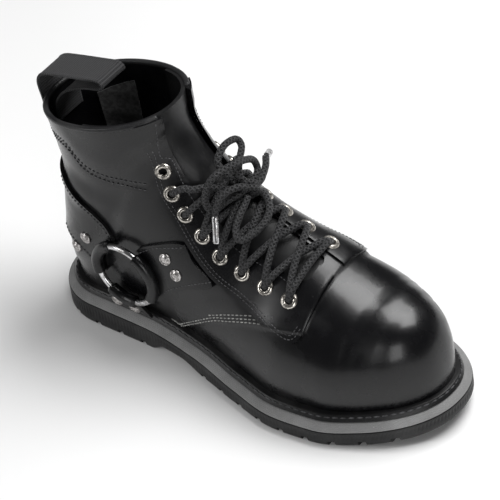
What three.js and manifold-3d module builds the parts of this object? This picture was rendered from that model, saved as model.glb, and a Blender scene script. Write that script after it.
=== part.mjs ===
import * as THREE from 'three';
import Module from 'manifold-3d';
import { mergeVertices } from 'three/addons/utils/BufferGeometryUtils.js';

const wasm = await Module();
wasm.setup();

// A right ankle boot for harness wear: laced front, zip on the inner side, ring and straps outside.
// Millimetres, X to the toe, Y to the inner (medial) side, Z up, ground at zero.

// Main sizes
const SOLE_LENGTH = 296;
const BALL_WIDTH = 114;
const COLLAR_HEIGHT = 182;
const HEEL_STACK = 16.5;
const MIDSOLE_HEIGHT = 4.6;
const WELT_HEIGHT = 3.8;
const WELT_SLOPE = 3.2;
const WELT_LEDGE = 2;
const BAND_SLOPE = 5;
const BAND_LIP = 0.5;
const WALL = 2;
const GAP = 0.3;
const SEAT = 0.8;
const SOLE_BACK = -38;

// Derived places
const SOLE_TIP = SOLE_BACK + SOLE_LENGTH;
const FEATHER_INSET = BAND_LIP + BAND_SLOPE + WELT_SLOPE + WELT_LEDGE;
const FEATHER_BACK = SOLE_BACK + FEATHER_INSET;
const FEATHER_TIP = SOLE_TIP - FEATHER_INSET;
const UPPER_LENGTH = FEATHER_TIP - FEATHER_BACK;

// Outline of the sole at the ground: place along the length, half widths and centre line shift
// as shares of the ball width.
const OUTLINE = [
  { at: 0.00, lateral: 0.350, medial: 0.350, shift: 0.00 },
  { at: 0.12, lateral: 0.358, medial: 0.352, shift: 0.00 },
  { at: 0.28, lateral: 0.352, medial: 0.325, shift: 0.00 },
  { at: 0.42, lateral: 0.385, medial: 0.305, shift: 0.00 },
  { at: 0.55, lateral: 0.462, medial: 0.370, shift: 0.00 },
  { at: 0.66, lateral: 0.513, medial: 0.448, shift: 0.00 },
  { at: 0.76, lateral: 0.505, medial: 0.478, shift: 0.02 },
  { at: 0.86, lateral: 0.465, medial: 0.462, shift: 0.05 },
  { at: 1.00, lateral: 0.410, medial: 0.410, shift: 0.08 },
];
const HEEL_CAP = 0.13;
const TOE_CAP = 0.25;
const CAP_POWER = 2.2;

// Run of the sole along its length, heights as shares of the heel stack.
const RUN = [
  { at: 0.00, bottom: 0.04, top: 1.00 },
  { at: 0.04, bottom: 0.00, top: 1.00 },
  { at: 0.29, bottom: 0.00, top: 0.98 },
  { at: 0.33, bottom: 0.34, top: 0.95 },
  { at: 0.38, bottom: 0.34, top: 0.90 },
  { at: 0.45, bottom: 0.00, top: 0.80 },
  { at: 0.60, bottom: 0.00, top: 0.68 },
  { at: 0.76, bottom: 0.00, top: 0.66 },
  { at: 0.86, bottom: 0.12, top: 0.78 },
  { at: 0.94, bottom: 0.32, top: 0.98 },
  { at: 1.00, bottom: 0.56, top: 1.20 },
];

function clamp(value, low, high) {
  return Math.min(Math.max(value, low), high);
}

// Cubic through a column of a table, without overshoot.
function smooth(rows, key, at) {
  const last = rows.length - 1;
  let i = 0;
  while (i < last - 1 && at > rows[i + 1].at) i += 1;
  const rise = (k) => (rows[k + 1][key] - rows[k][key]) / (rows[k + 1].at - rows[k].at);
  const slope = (k) => {
    if (k === 0) return rise(0);
    if (k === last) return rise(last - 1);
    const before = rise(k - 1);
    const after = rise(k);
    if (before * after <= 0) return 0;
    return (2 * before * after) / (before + after);
  };
  const step = rows[i + 1].at - rows[i].at;
  const t = clamp((at - rows[i].at) / step, 0, 1);
  const a = rows[i][key];
  const b = rows[i + 1][key];
  const ma = slope(i) * step;
  const mb = slope(i + 1) * step;
  return (2 * t ** 3 - 3 * t ** 2 + 1) * a + (t ** 3 - 2 * t ** 2 + t) * ma
    + (-2 * t ** 3 + 3 * t ** 2) * b + (t ** 3 - t ** 2) * mb;
}

// Rounding of the two ends of the outline.
function endCap(share) {
  const power = CAP_POWER;
  if (share < HEEL_CAP) {
    const t = clamp((HEEL_CAP - share) / HEEL_CAP, 0, 1);
    return (1 - t ** power) ** (1 / power);
  }
  if (share > 1 - TOE_CAP) {
    const t = clamp((share - 1 + TOE_CAP) / TOE_CAP, 0, 1);
    return (1 - t ** power) ** (1 / power);
  }
  return 1;
}

// Ground outline; turn runs from 0 at the heel over the lateral side, half a turn at the toe.
function groundPoint(turn) {
  const share = (1 - Math.cos(turn)) / 2;
  const side = Math.sin(turn) >= 0 ? 'lateral' : 'medial';
  const sign = side === 'lateral' ? -1 : 1;
  const half = BALL_WIDTH * smooth(OUTLINE, side, share) * endCap(share);
  const y = BALL_WIDTH * smooth(OUTLINE, 'shift', share) + sign * half;
  return [SOLE_BACK + SOLE_LENGTH * share, y];
}

function outlinePoint(turn, inset) {
  const small = 0.004;
  const a = groundPoint(turn - small);
  const b = groundPoint(turn + small);
  const p = groundPoint(turn);
  const dx = b[0] - a[0];
  const dy = b[1] - a[1];
  const size = Math.hypot(dx, dy);
  return [p[0] - (dy / size) * inset, p[1] + (dx / size) * inset];
}

function runHeight(key, x) {
  return HEEL_STACK * smooth(RUN, key, clamp((x - SOLE_BACK) / SOLE_LENGTH, 0, 1));
}

const MIDSOLE_BASE = GAP;
const MIDSOLE_TOP = MIDSOLE_BASE + MIDSOLE_HEIGHT;
const WELT_BASE = MIDSOLE_TOP + GAP;
const WELT_TOP = WELT_BASE + WELT_HEIGHT;
const FEATHER_RISE = WELT_TOP + GAP;

function featherHeight(x) {
  return runHeight('top', x) + FEATHER_RISE;
}

// Half outlines of the feather line, read by place along the length.
const FEATHER_STEPS = 240;
function featherSide(sign) {
  const points = [];
  for (let i = 0; i <= FEATHER_STEPS; i += 1) {
    const turn = sign * Math.PI * (i / FEATHER_STEPS);
    points.push(outlinePoint(turn, FEATHER_INSET));
  }
  return points;
}
const FEATHER = { lateral: featherSide(1), medial: featherSide(-1) };

function featherY(side, x) {
  const points = FEATHER[side];
  let i = 0;
  while (i < points.length - 2 && points[i + 1][0] < x) i += 1;
  const a = points[i];
  const b = points[i + 1];
  const t = clamp((x - a[0]) / Math.max(b[0] - a[0], 1e-6), 0, 1);
  return a[1] + t * (b[1] - a[1]);
}

// Sections of the upper behind the toe. Places are shares of the upper's length from its heel,
// heights are shares of the collar height; half widths are shares of the ball width.
// full and heel are the squareness of a section's upper and lower half: 1 an ellipse, less squarer.
const TOE_JOIN = 0.845;
const TOE_HEIGHT = 0.32;
const TOE_POWER = 2.25;
const HEEL_AT = 10;
const SECTIONS = [
  { at: 1, footX: 0.845, footZ: 0, topX: 0.845, topZ: 0.433,
    lateral: 0.3, medial: 0.32, full: 0.9, heel: 0.9, ridge: 0.04 },
  { at: 2, footX: 0.755, footZ: 0, topX: 0.765, topZ: 0.486,
    lateral: 0.34, medial: 0.355, full: 0.94, heel: 0.94, ridge: 0.065 },
  { at: 3, footX: 0.665, footZ: 0, topX: 0.685, topZ: 0.534,
    lateral: 0.36, medial: 0.355, full: 1.0, heel: 1, ridge: 0.085 },
  { at: 4, footX: 0.56, footZ: 0, topX: 0.605, topZ: 0.580,
    lateral: 0.35, medial: 0.33, full: 1.05, heel: 1.05, ridge: 0.09 },
  { at: 5, footX: 0.45, footZ: 0, topX: 0.53, topZ: 0.632,
    lateral: 0.335, medial: 0.305, full: 1.06, heel: 1.06, ridge: 0.085 },
  { at: 6, footX: 0.34, footZ: 0, topX: 0.468, topZ: 0.694,
    lateral: 0.325, medial: 0.3, full: 1.05, heel: 1.05, ridge: 0.075 },
  { at: 7, footX: 0.23, footZ: 0, topX: 0.418, topZ: 0.76,
    lateral: 0.32, medial: 0.3, full: 1.03, heel: 1.03, ridge: 0.06 },
  { at: 8, footX: 0.135, footZ: 0, topX: 0.386, topZ: 0.814,
    lateral: 0.315, medial: 0.3, full: 1.0, heel: 1, ridge: 0.05 },
  { at: 9, footX: 0.055, footZ: 0, topX: 0.367, topZ: 0.856,
    lateral: 0.31, medial: 0.3, full: 0.95, heel: 0.9, ridge: 0.045 },
  { at: HEEL_AT, footX: 0, footZ: 0, topX: 0.357, topZ: 0.888,
    lateral: 0.305, medial: 0.3, full: 0.95, heel: 0.74, ridge: 0.04 },
  { at: 11, footX: -0.012, footZ: 0.12, topX: 0.351, topZ: 0.917,
    lateral: 0.305, medial: 0.3, full: 0.96, heel: 0.8, ridge: 0.035 },
  { at: 12, footX: 0.002, footZ: 0.31, topX: 0.348, topZ: 0.942,
    lateral: 0.31, medial: 0.305, full: 0.96, heel: 0.88, ridge: 0.03 },
  { at: 13, footX: 0.014, footZ: 0.5, topX: 0.347, topZ: 0.963,
    lateral: 0.315, medial: 0.31, full: 0.95, heel: 0.93, ridge: 0.03 },
  { at: 14, footX: 0.004, footZ: 0.69, topX: 0.346, topZ: 0.983,
    lateral: 0.32, medial: 0.315, full: 0.95, heel: 0.95, ridge: 0.03 },
  { at: 15, footX: -0.012, footZ: 0.87, topX: 0.346, topZ: 1.0,
    lateral: 0.325, medial: 0.32, full: 0.95, heel: 0.95, ridge: 0.03 },
];
const COLLAR_AT = SECTIONS[SECTIONS.length - 1].at;

function upperX(share) {
  return FEATHER_BACK + UPPER_LENGTH * share;
}

// One section: its top and foot points, half widths, centre and closing angle.
function section(at) {
  let footX;
  let topX;
  let topZ;
  let lift = 0;
  let cap = 1;
  if (at < 1) {
    const angle = (at * Math.PI) / 2;
    footX = TOE_JOIN + (1 - TOE_JOIN) * Math.cos(angle);
    cap = (1 - Math.cos(angle) ** TOE_POWER) ** (1 / TOE_POWER);
    topX = footX;
  } else {
    footX = smooth(SECTIONS, 'footX', at);
    topX = smooth(SECTIONS, 'topX', at);
    lift = smooth(SECTIONS, 'footZ', at);
  }
  const x = upperX(footX);
  const base = featherHeight(x);
  if (at < 1) {
    const join = COLLAR_HEIGHT * SECTIONS[0].topZ - featherHeight(upperX(TOE_JOIN));
    const far = COLLAR_HEIGHT * TOE_HEIGHT;
    const mix = (1 - footX) / (1 - TOE_JOIN);
    topZ = base + cap * (join * mix + far * (1 - mix));
  } else {
    topZ = COLLAR_HEIGHT * smooth(SECTIONS, 'topZ', at);
  }
  const foot = { x, z: base + lift * (COLLAR_HEIGHT - base) };
  const top = { x: upperX(topX), z: topZ };
  const yl = featherY('lateral', x);
  const ym = featherY('medial', x);
  const centre = BALL_WIDTH * smooth(OUTLINE, 'shift', clamp((x - SOLE_BACK) / SOLE_LENGTH, 0, 1));
  const full = at < 1 ? SECTIONS[0].full : smooth(SECTIONS, 'full', at);
  const heel = at < 1 ? SECTIONS[0].heel : smooth(SECTIONS, 'heel', at);
  const ridge = BALL_WIDTH * (at < 1 ? SECTIONS[0].ridge * at : smooth(SECTIONS, 'ridge', at));
  const sides = {};
  for (const [name, edge] of [['lateral', Math.abs(yl - centre)], ['medial', Math.abs(ym - centre)]]) {
    const wanted = at < 1 ? 0 : BALL_WIDTH * smooth(SECTIONS, name, at);
    const low = edge * 1.035;
    const half = (low ** 8 + wanted ** 8) ** (1 / 8);
    const closed = foot.z > base + 0.01 || edge < 0.01;
    const ratio = closed ? 0 : clamp(edge / Math.max(half, 1e-6), 0, 0.999);
    sides[name] = { half, end: Math.PI - Math.asin(ratio ** (1 / heel)) };
  }
  return { top, foot, centre, ridge, full, heel, sides };
}

// Point of the upper's outer face; u is -1 at the lateral foot edge, 0 on the ridge, 1 medial.
function facePoint(at, u) {
  const s = section(clamp(at, 0, COLLAR_AT));
  const side = u < 0 ? s.sides.lateral : s.sides.medial;
  const angle = Math.abs(u) * side.end;
  const c = Math.cos(angle);
  const power = c < 0 ? s.heel : s.full;
  const bend = (v) => Math.sign(v) * Math.abs(v) ** (v < 0 ? s.heel : s.full);
  const whole = 1 - bend(Math.cos(side.end));
  const down = (1 - bend(c)) / whole;
  const out = side.half * Math.abs(Math.sin(angle)) ** power * (u < 0 ? -1 : 1);
  return [
    s.top.x + (s.foot.x - s.top.x) * down,
    s.centre + s.ridge * Math.max(1 - down, 0) ** 1.5 + out,
    s.top.z + (s.foot.z - s.top.z) * down,
  ];
}

function faceNormal(at, u) {
  const ds = 0.02;
  const du = 0.012;
  if (at < 0.01) return [1, 0, 0];
  const a0 = Math.max(at - ds, 0.004);
  const a1 = Math.min(at + ds, COLLAR_AT);
  const wrap = Math.abs(u) > 1 - du;
  const u0 = Math.max(u - du, -1);
  const u1 = Math.min(u + du, 1);
  const s = section(at);
  const shut = wrap && (u < 0 ? s.sides.lateral : s.sides.medial).end > Math.PI - 1e-6;
  let across;
  if (shut) {
    const p = facePoint(at, 1 - du);
    const q = facePoint(at, -1 + du);
    across = [q[0] - p[0], q[1] - p[1], q[2] - p[2]];
  } else {
    const p = facePoint(at, u0);
    const q = facePoint(at, u1);
    across = [q[0] - p[0], q[1] - p[1], q[2] - p[2]];
  }
  const e = facePoint(a0, u);
  const f = facePoint(a1, u);
  const along = [f[0] - e[0], f[1] - e[1], f[2] - e[2]];
  const n = new THREE.Vector3(
    across[1] * along[2] - across[2] * along[1],
    across[2] * along[0] - across[0] * along[2],
    across[0] * along[1] - across[1] * along[0],
  );
  n.normalize();
  return [n.x, n.y, n.z];
}

function offsetPoint(at, u, distance) {
  const p = facePoint(at, u);
  const n = faceNormal(at, u);
  return [p[0] + n[0] * distance, p[1] + n[1] * distance, p[2] + n[2] * distance];
}

// Welded geometry from points and triangles; pairs of opposite faces cancel.
function weld(points, triangles) {
  const keys = new Map();
  const index = [];
  const kept = [];
  points.forEach((p) => {
    const key = p.map((v) => Math.round(v * 500)).join(',');
    if (!keys.has(key)) {
      keys.set(key, kept.length);
      kept.push(p);
    }
    index.push(keys.get(key));
  });
  const faces = new Map();
  triangles.forEach((t) => {
    const f = t.map((v) => index[v]);
    if (f[0] === f[1] || f[1] === f[2] || f[2] === f[0]) return;
    const key = [...f].sort((a, b) => a - b).join(',');
    if (faces.has(key)) faces.delete(key);
    else faces.set(key, f);
  });
  const geometry = new THREE.BufferGeometry();
  geometry.setAttribute('position', new THREE.Float32BufferAttribute(kept.flat(), 3));
  geometry.setIndex([...faces.values()].flat());
  return geometry;
}

// Solid between two grids of points, its rim closed.
function shell(outer, inner) {
  const rows = outer.length;
  const cols = outer[0].length;
  const points = [...outer.flat(), ...inner.flat()];
  const half = rows * cols;
  const id = (r, c, layer) => layer * half + r * cols + c;
  const triangles = [];
  const quad = (a, b, c, d) => triangles.push([a, b, c], [a, c, d]);
  for (let r = 0; r < rows - 1; r += 1) {
    for (let c = 0; c < cols - 1; c += 1) {
      quad(id(r, c, 0), id(r, c + 1, 0), id(r + 1, c + 1, 0), id(r + 1, c, 0));
      quad(id(r, c, 1), id(r + 1, c, 1), id(r + 1, c + 1, 1), id(r, c + 1, 1));
    }
  }
  for (let r = 0; r < rows - 1; r += 1) {
    quad(id(r, 0, 0), id(r + 1, 0, 0), id(r + 1, 0, 1), id(r, 0, 1));
    quad(id(r, cols - 1, 0), id(r, cols - 1, 1), id(r + 1, cols - 1, 1), id(r + 1, cols - 1, 0));
  }
  for (let c = 0; c < cols - 1; c += 1) {
    quad(id(0, c, 0), id(0, c, 1), id(0, c + 1, 1), id(0, c + 1, 0));
    quad(id(rows - 1, c, 0), id(rows - 1, c + 1, 0), id(rows - 1, c + 1, 1), id(rows - 1, c, 1));
  }
  return weld(points, triangles);
}

// Grid lines of the upper.
const ROW_RUNS = [
  { from: 0, to: 1, rows: 6 },
  { from: 1, to: HEEL_AT, rows: 13 },
  { from: HEEL_AT, to: COLLAR_AT, rows: 7 },
];
const HALF_COLUMNS = 10;

function rowPlaces() {
  const places = [0];
  ROW_RUNS.forEach((run) => {
    for (let i = 1; i <= run.rows; i += 1) places.push(run.from + ((run.to - run.from) * i) / run.rows);
  });
  return places;
}

function columnPlaces() {
  const places = [];
  for (let i = -HALF_COLUMNS; i <= HALF_COLUMNS; i += 1) places.push(i / HALF_COLUMNS);
  return places;
}

function faceGrid(distance, rows, columns) {
  return rows.map((at) => columns.map((u) => {
    const p = offsetPoint(at, u, distance);
    const open = Math.abs(u) === 1 && at <= HEEL_AT;
    p[2] = open ? featherHeight(p[0]) : Math.max(p[2], featherHeight(p[0]) + Math.abs(at - HEEL_AT) * 0.01);
    return p;
  }));
}

// Slab of the sole between two heights, its side through rings of inset and height.
const SIDE_STEPS = 28;
function slab(rings) {
  const count = SIDE_STEPS * 2;
  const loops = rings.map((ring) => {
    const loop = [];
    for (let i = 0; i < count; i += 1) {
      const p = outlinePoint((2 * Math.PI * i) / count, ring.inset);
      loop.push([p[0], p[1], ring.height(p[0])]);
    }
    return loop;
  });
  const points = loops.flat();
  const triangles = [];
  const id = (k, i) => k * count + ((i + count) % count);
  for (let k = 0; k < loops.length - 1; k += 1) {
    for (let i = 0; i < count; i += 1) {
      triangles.push([id(k, i), id(k, i + 1), id(k + 1, i + 1)], [id(k, i), id(k + 1, i + 1), id(k + 1, i)]);
    }
  }
  const top = loops.length - 1;
  for (let i = 0; i < SIDE_STEPS; i += 1) {
    const a = i;
    const b = i + 1;
    const c = count - i - 1;
    const d = count - i;
    triangles.push([id(0, a), id(0, d), id(0, c)], [id(0, a), id(0, c), id(0, b)]);
    triangles.push([id(top, a), id(top, c), id(top, d)], [id(top, a), id(top, b), id(top, c)]);
  }
  return weld(points, triangles);
}

function material(colour, roughness, metalness) {
  return new THREE.MeshStandardMaterial({ color: colour, roughness, metalness });
}

const boot = new THREE.Group();
boot.name = 'harness_boot';

function add(name, geometry, look) {
  const flat = geometry.index ? geometry.toNonIndexed() : geometry;
  flat.deleteAttribute('normal');
  flat.deleteAttribute('uv');
  const merged = mergeVertices(flat, 1e-4);
  merged.computeVertexNormals();
  const mesh = new THREE.Mesh(merged, look);
  mesh.name = name;
  boot.add(mesh);
  return mesh;
}

const BLACK_RUBBER = 0x17181a;
const GREY_RUBBER = 0x6f6f6f;
const LEATHER = 0x151518;

const STEEL = 0xb9bcc0;
const NICKEL = 0x9a9a98;
const CLOTH = 0x141416;

// Closed solids for cutting and joining.
function solid(geometry) {
  const flat = geometry.index ? geometry.toNonIndexed() : geometry.clone();
  flat.deleteAttribute('normal');
  flat.deleteAttribute('uv');
  const merged = mergeVertices(flat, 1e-4);
  return new wasm.Manifold(new wasm.Mesh({
    numProp: 3,
    vertProperties: new Float32Array(merged.attributes.position.array),
    triVerts: new Uint32Array(merged.index.array),
  }));
}

function geometryOf(body) {
  const mesh = body.getMesh();
  const geometry = new THREE.BufferGeometry();
  geometry.setAttribute('position', new THREE.BufferAttribute(new Float32Array(mesh.vertProperties), 3));
  geometry.setIndex([...mesh.triVerts]);
  return geometry;
}

function joined(list) {
  return list.slice(1).reduce((sum, next) => sum.add(next), list[0]);
}

function placed(geometry, matrix) {
  const copy = geometry.clone();
  copy.applyMatrix4(matrix);
  return copy;
}

// Side view prism: outline in X and Z, from one Y to another.
function sidePrism(outline, fromY, toY) {
  const shape = new THREE.Shape(outline.map(([x, z]) => new THREE.Vector2(x, z)));
  const geometry = new THREE.ExtrudeGeometry(shape, { depth: toY - fromY, bevelEnabled: false });
  geometry.rotateX(Math.PI / 2);
  geometry.translate(0, toY, 0);
  return solid(geometry);
}

// Plan view prism: outline in X and Y, from one Z to another.
function planPrism(outline, fromZ, toZ) {
  const shape = new THREE.Shape(outline.map(([x, y]) => new THREE.Vector2(x, y)));
  const geometry = new THREE.ExtrudeGeometry(shape, { depth: toZ - fromZ, bevelEnabled: false });
  geometry.translate(0, 0, fromZ);
  return solid(geometry);
}

// Smooth open line through a few points.
function curved(points, closed, divisions) {
  const line = new THREE.CatmullRomCurve3(
    points.map(([a, b]) => new THREE.Vector3(a, b, 0)), closed, 'catmullrom', 0.5,
  );
  return line.getPoints(divisions).slice(0, closed ? -1 : undefined).map((v) => [v.x, v.y]);
}

function onBoot(rows) {
  return rows.map((row) => [upperX(row.along), COLLAR_HEIGHT * row.up]);
}

// Sole: black tread with lugs, grey band, stitched welt.
const LUG_DEPTH = 4;
const LUG_PITCH = 17;
const LUG_GAP = 4.5;
const LUG_REACH = 24;
const CENTRE_REACH = 15;
const TREAD_FILLET = 1.6;
const TREAD_FLARE = 3;
const LUG_ZONES = [
  { name: 'heel', from: 0.08, to: 0.27 },
  { name: 'forefoot', from: 0.45, to: 0.92 },
];

function grooveBox(x, y, length, width, ceiling) {
  const depth = ceiling + LUG_DEPTH;
  const box = new THREE.BoxGeometry(length, width, depth);
  box.translate(x, y, ceiling - depth / 2);
  return solid(box);
}

function lugGrooves() {
  const list = [];
  LUG_ZONES.forEach((zone) => {
    const from = SOLE_BACK + SOLE_LENGTH * zone.from;
    const to = SOLE_BACK + SOLE_LENGTH * zone.to;
    const count = Math.round((to - from) / LUG_PITCH);
    for (let i = 0; i <= count; i += 1) {
      const x = from + ((to - from) * i) / count;
      const share = (x - SOLE_BACK) / SOLE_LENGTH;
      const ceiling = runHeight('bottom', x) + LUG_DEPTH;
      const centre = BALL_WIDTH * smooth(OUTLINE, 'shift', share);
      [['lateral', -1], ['medial', 1]].forEach(([side, sign]) => {
        const edge = BALL_WIDTH * smooth(OUTLINE, side, share) * endCap(share);
        const y = centre + sign * (edge + LUG_GAP - LUG_REACH / 2);
        list.push(grooveBox(x, y, LUG_GAP, LUG_REACH, ceiling));
      });
      if (i < count) {
        const mid = x + (to - from) / count / 2;
        const top = runHeight('bottom', mid) + LUG_DEPTH;
        list.push(grooveBox(mid, centre, LUG_GAP, CENTRE_REACH, top));
      }
    }
  });
  return joined(list);
}

const tread = slab([
  { inset: TREAD_FILLET, height: (x) => runHeight('bottom', x) },
  { inset: 0, height: (x) => runHeight('bottom', x) + TREAD_FLARE },
  { inset: BAND_LIP * 0.5, height: (x) => runHeight('top', x) },
]);
add('outsole', geometryOf(solid(tread).subtract(lugGrooves())), material(BLACK_RUBBER, 0.6, 0));
add('midsole_band', slab([
  { inset: BAND_LIP, height: (x) => runHeight('top', x) + MIDSOLE_BASE },
  { inset: BAND_LIP + BAND_SLOPE, height: (x) => runHeight('top', x) + MIDSOLE_TOP },
]), material(GREY_RUBBER, 0.6, 0));
add('welt', slab([
  { inset: BAND_LIP + BAND_SLOPE, height: (x) => runHeight('top', x) + WELT_BASE },
  { inset: BAND_LIP + BAND_SLOPE + WELT_SLOPE, height: (x) => runHeight('top', x) + WELT_TOP },
]), material(BLACK_RUBBER, 0.5, 0));
const INSOLE_THICK = 3;
const INSOLE_INSET = FEATHER_INSET + WALL + 4;
add('insole', slab([
  { inset: INSOLE_INSET, height: (x) => runHeight('top', x) + FEATHER_RISE },
  { inset: INSOLE_INSET, height: (x) => runHeight('top', x) + FEATHER_RISE + INSOLE_THICK },
]), material(CLOTH, 0.9, 0));

// Throat: plan outline of the opening between the facings, rounded at its lower end.
const THROAT = [
  { along: 0.10, lateral: -0.088, medial: 0.20 },
  { along: 0.36, lateral: -0.095, medial: 0.165 },
  { along: 0.47, lateral: -0.125, medial: 0.110 },
  { along: 0.600, lateral: -0.135, medial: 0.085 },
  { along: 0.680, lateral: -0.130, medial: 0.078 },
  { along: 0.702, lateral: -0.095, medial: 0.045 },
];
function throatCut() {
  const left = THROAT.map((row) => [upperX(row.along), BALL_WIDTH * row.lateral]);
  const right = THROAT.map((row) => [upperX(row.along), BALL_WIDTH * row.medial]).reverse();
  return planPrism([...left, ...right], COLLAR_HEIGHT * 0.3, COLLAR_HEIGHT * 1.2);
}
const throat = throatCut();

// Zip slot on the medial side.
const ZIP = { top: 0.215, bottom: 0.265, low: 0.23, high: 1.2, width: 7 };
function zipX(up) {
  const mix = (up - ZIP.low) / (ZIP.high - ZIP.low);
  return upperX(ZIP.bottom + (ZIP.top - ZIP.bottom) * mix);
}
function zipPrism(trim, low, high) {
  const half = ZIP.width / 2 - trim;
  return sidePrism([
    [zipX(low) - half, COLLAR_HEIGHT * low],
    [zipX(low) + half, COLLAR_HEIGHT * low],
    [zipX(high) + half, COLLAR_HEIGHT * high],
    [zipX(high) - half, COLLAR_HEIGHT * high],
  ], 8, BALL_WIDTH);
}

const rows = rowPlaces();
const columns = columnPlaces();

// Eyelets: station up the throat, and the place across on each side.
const EYELETS = [
  { at: 9.0, lateral: -0.26, medial: 0.34 },
  { at: 7.75, lateral: -0.31, medial: 0.29 },
  { at: 6.82, lateral: -0.34, medial: 0.235 },
  { at: 6.02, lateral: -0.37, medial: 0.175 },
  { at: 5.28, lateral: -0.40, medial: 0.125 },
  { at: 4.53, lateral: -0.40, medial: 0.105 },
  { at: 3.78, lateral: -0.385, medial: 0.10 },
  { at: 3.02, lateral: -0.36, medial: 0.10 },
];
const EYELET_OUTER = 5.6;
const EYELET_HOLE = 2.6;
const EYELET_RISE = 1.2;
const FACING_THICK = 1.5;
const HOLE_SIDES = 6;

// Frame standing on the face at a place, its Z along the outward normal, Y up the boot.
function faceFrame(at, u, height) {
  const p = offsetPoint(at, u, height);
  const n = new THREE.Vector3(...faceNormal(at, u));
  const up = new THREE.Vector3(0, 0, 1);
  const x = new THREE.Vector3().crossVectors(up, n).normalize();
  const y = new THREE.Vector3().crossVectors(n, x);
  return new THREE.Matrix4().makeBasis(x, y, n).setPosition(p[0], p[1], p[2]);
}

function eyeletHoles() {
  const list = [];
  EYELETS.forEach((row) => ['lateral', 'medial'].forEach((side) => {
    const bore = new THREE.CylinderGeometry(EYELET_HOLE + GAP, EYELET_HOLE + GAP, 14, HOLE_SIDES);
    bore.rotateX(Math.PI / 2);
    list.push(solid(placed(bore, faceFrame(row.at, row[side], 0))));
  }));
  return joined(list);
}
const holes = eyeletHoles();

const upperBody = solid(shell(faceGrid(0, rows, columns), faceGrid(-WALL, rows, columns)));
add('upper', geometryOf(upperBody.subtract(throat).subtract(zipPrism(0, ZIP.low, ZIP.high)).subtract(holes)),
  material(LEATHER, 0.35, 0));

// Tongue behind the throat.
const TONGUE_THICK = 2.6;
const TONGUE_FROM = 1.6;
const tongueRows = rows.filter((at) => at >= TONGUE_FROM);
const tongueColumns = columns.filter((u) => u > -0.55 && u < 0.45);
const behind = WALL + GAP;
add('tongue', shell(
  faceGrid(-behind, tongueRows, tongueColumns),
  faceGrid(-behind - TONGUE_THICK, tongueRows, tongueColumns),
), material(LEATHER, 0.4, 0));

// Panels laid on the upper: side outlines in shares of the upper's length and collar height.
function panel(outline, fromY, toY, thick) {
  const band = solid(shell(faceGrid(GAP + thick, rows, columns), faceGrid(GAP, rows, columns)));
  return band.intersect(sidePrism(outline, fromY, toY));
}
const FACING_LATERAL = [
  { along: 0.30, up: 1.06 },
  { along: 0.300, up: 0.87 },
  { along: 0.325, up: 0.715 },
  { along: 0.372, up: 0.615 },
  { along: 0.430, up: 0.510 },
  { along: 0.490, up: 0.445 },
  { along: 0.560, up: 0.415 },
  { along: 0.625, up: 0.385 },
  { along: 0.680, up: 0.360 },
  { along: 0.708, up: 0.355 },
  { along: 0.725, up: 0.370 },
  { along: 0.735, up: 0.400 },
  { along: 0.739, up: 0.45 },
  { along: 0.739, up: 0.62 },
  { along: 0.60, up: 0.9 },
  { along: 0.40, up: 1.12 },
];
const FACING_MEDIAL = [
  { along: 0.30, up: 1.06 },
  { along: 0.300, up: 0.87 },
  { along: 0.325, up: 0.735 },
  { along: 0.372, up: 0.655 },
  { along: 0.430, up: 0.575 },
  { along: 0.490, up: 0.52 },
  { along: 0.560, up: 0.485 },
  { along: 0.625, up: 0.455 },
  { along: 0.680, up: 0.435 },
  { along: 0.705, up: 0.432 },
  { along: 0.722, up: 0.440 },
  { along: 0.733, up: 0.460 },
  { along: 0.739, up: 0.49 },
  { along: 0.739, up: 0.62 },
  { along: 0.60, up: 0.9 },
  { along: 0.40, up: 1.12 },
];
const lateralFacing = panel(onBoot(FACING_LATERAL), -BALL_WIDTH, 0, FACING_THICK);
add('facing_lateral', geometryOf(lateralFacing.subtract(throat).subtract(holes)), material(LEATHER, 0.35, 0));
const medialFacing = panel(onBoot(FACING_MEDIAL), BALL_WIDTH * 0.04, BALL_WIDTH, FACING_THICK);
add('facing_medial', geometryOf(medialFacing.subtract(throat).subtract(holes)), material(LEATHER, 0.35, 0));

// Eyelet rings on the facings.
function eyeletRing() {
  const profile = [
    [EYELET_HOLE, 0],
    [EYELET_OUTER, 0],
    [EYELET_OUTER - 0.9, EYELET_RISE],
    [EYELET_HOLE + 0.7, EYELET_RISE],
    [EYELET_HOLE, 0],
  ].map(([r, h]) => new THREE.Vector2(r, h));
  const ring = new THREE.LatheGeometry(profile, 10);
  ring.rotateX(Math.PI / 2);
  return ring;
}
EYELETS.forEach((row, i) => ['lateral', 'medial'].forEach((side) => {
  const stand = faceFrame(row.at, row[side], GAP + FACING_THICK + SEAT);
  add(`eyelet_${side}_${i + 1}`, placed(eyeletRing(), stand), material(NICKEL, 0.35, 1));
}));

// Harness ring and its straps on the lateral side.
const RING = { along: 0.242, up: 0.345, radius: 22.3, wire: 2.1, y: -0.362 };
const STRAP_THICK = 2.2;
const LOOP_WALL = 1.6;
const ringX = upperX(RING.along);
const ringZ = COLLAR_HEIGHT * RING.up;
const ringY = BALL_WIDTH * RING.y;

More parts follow.
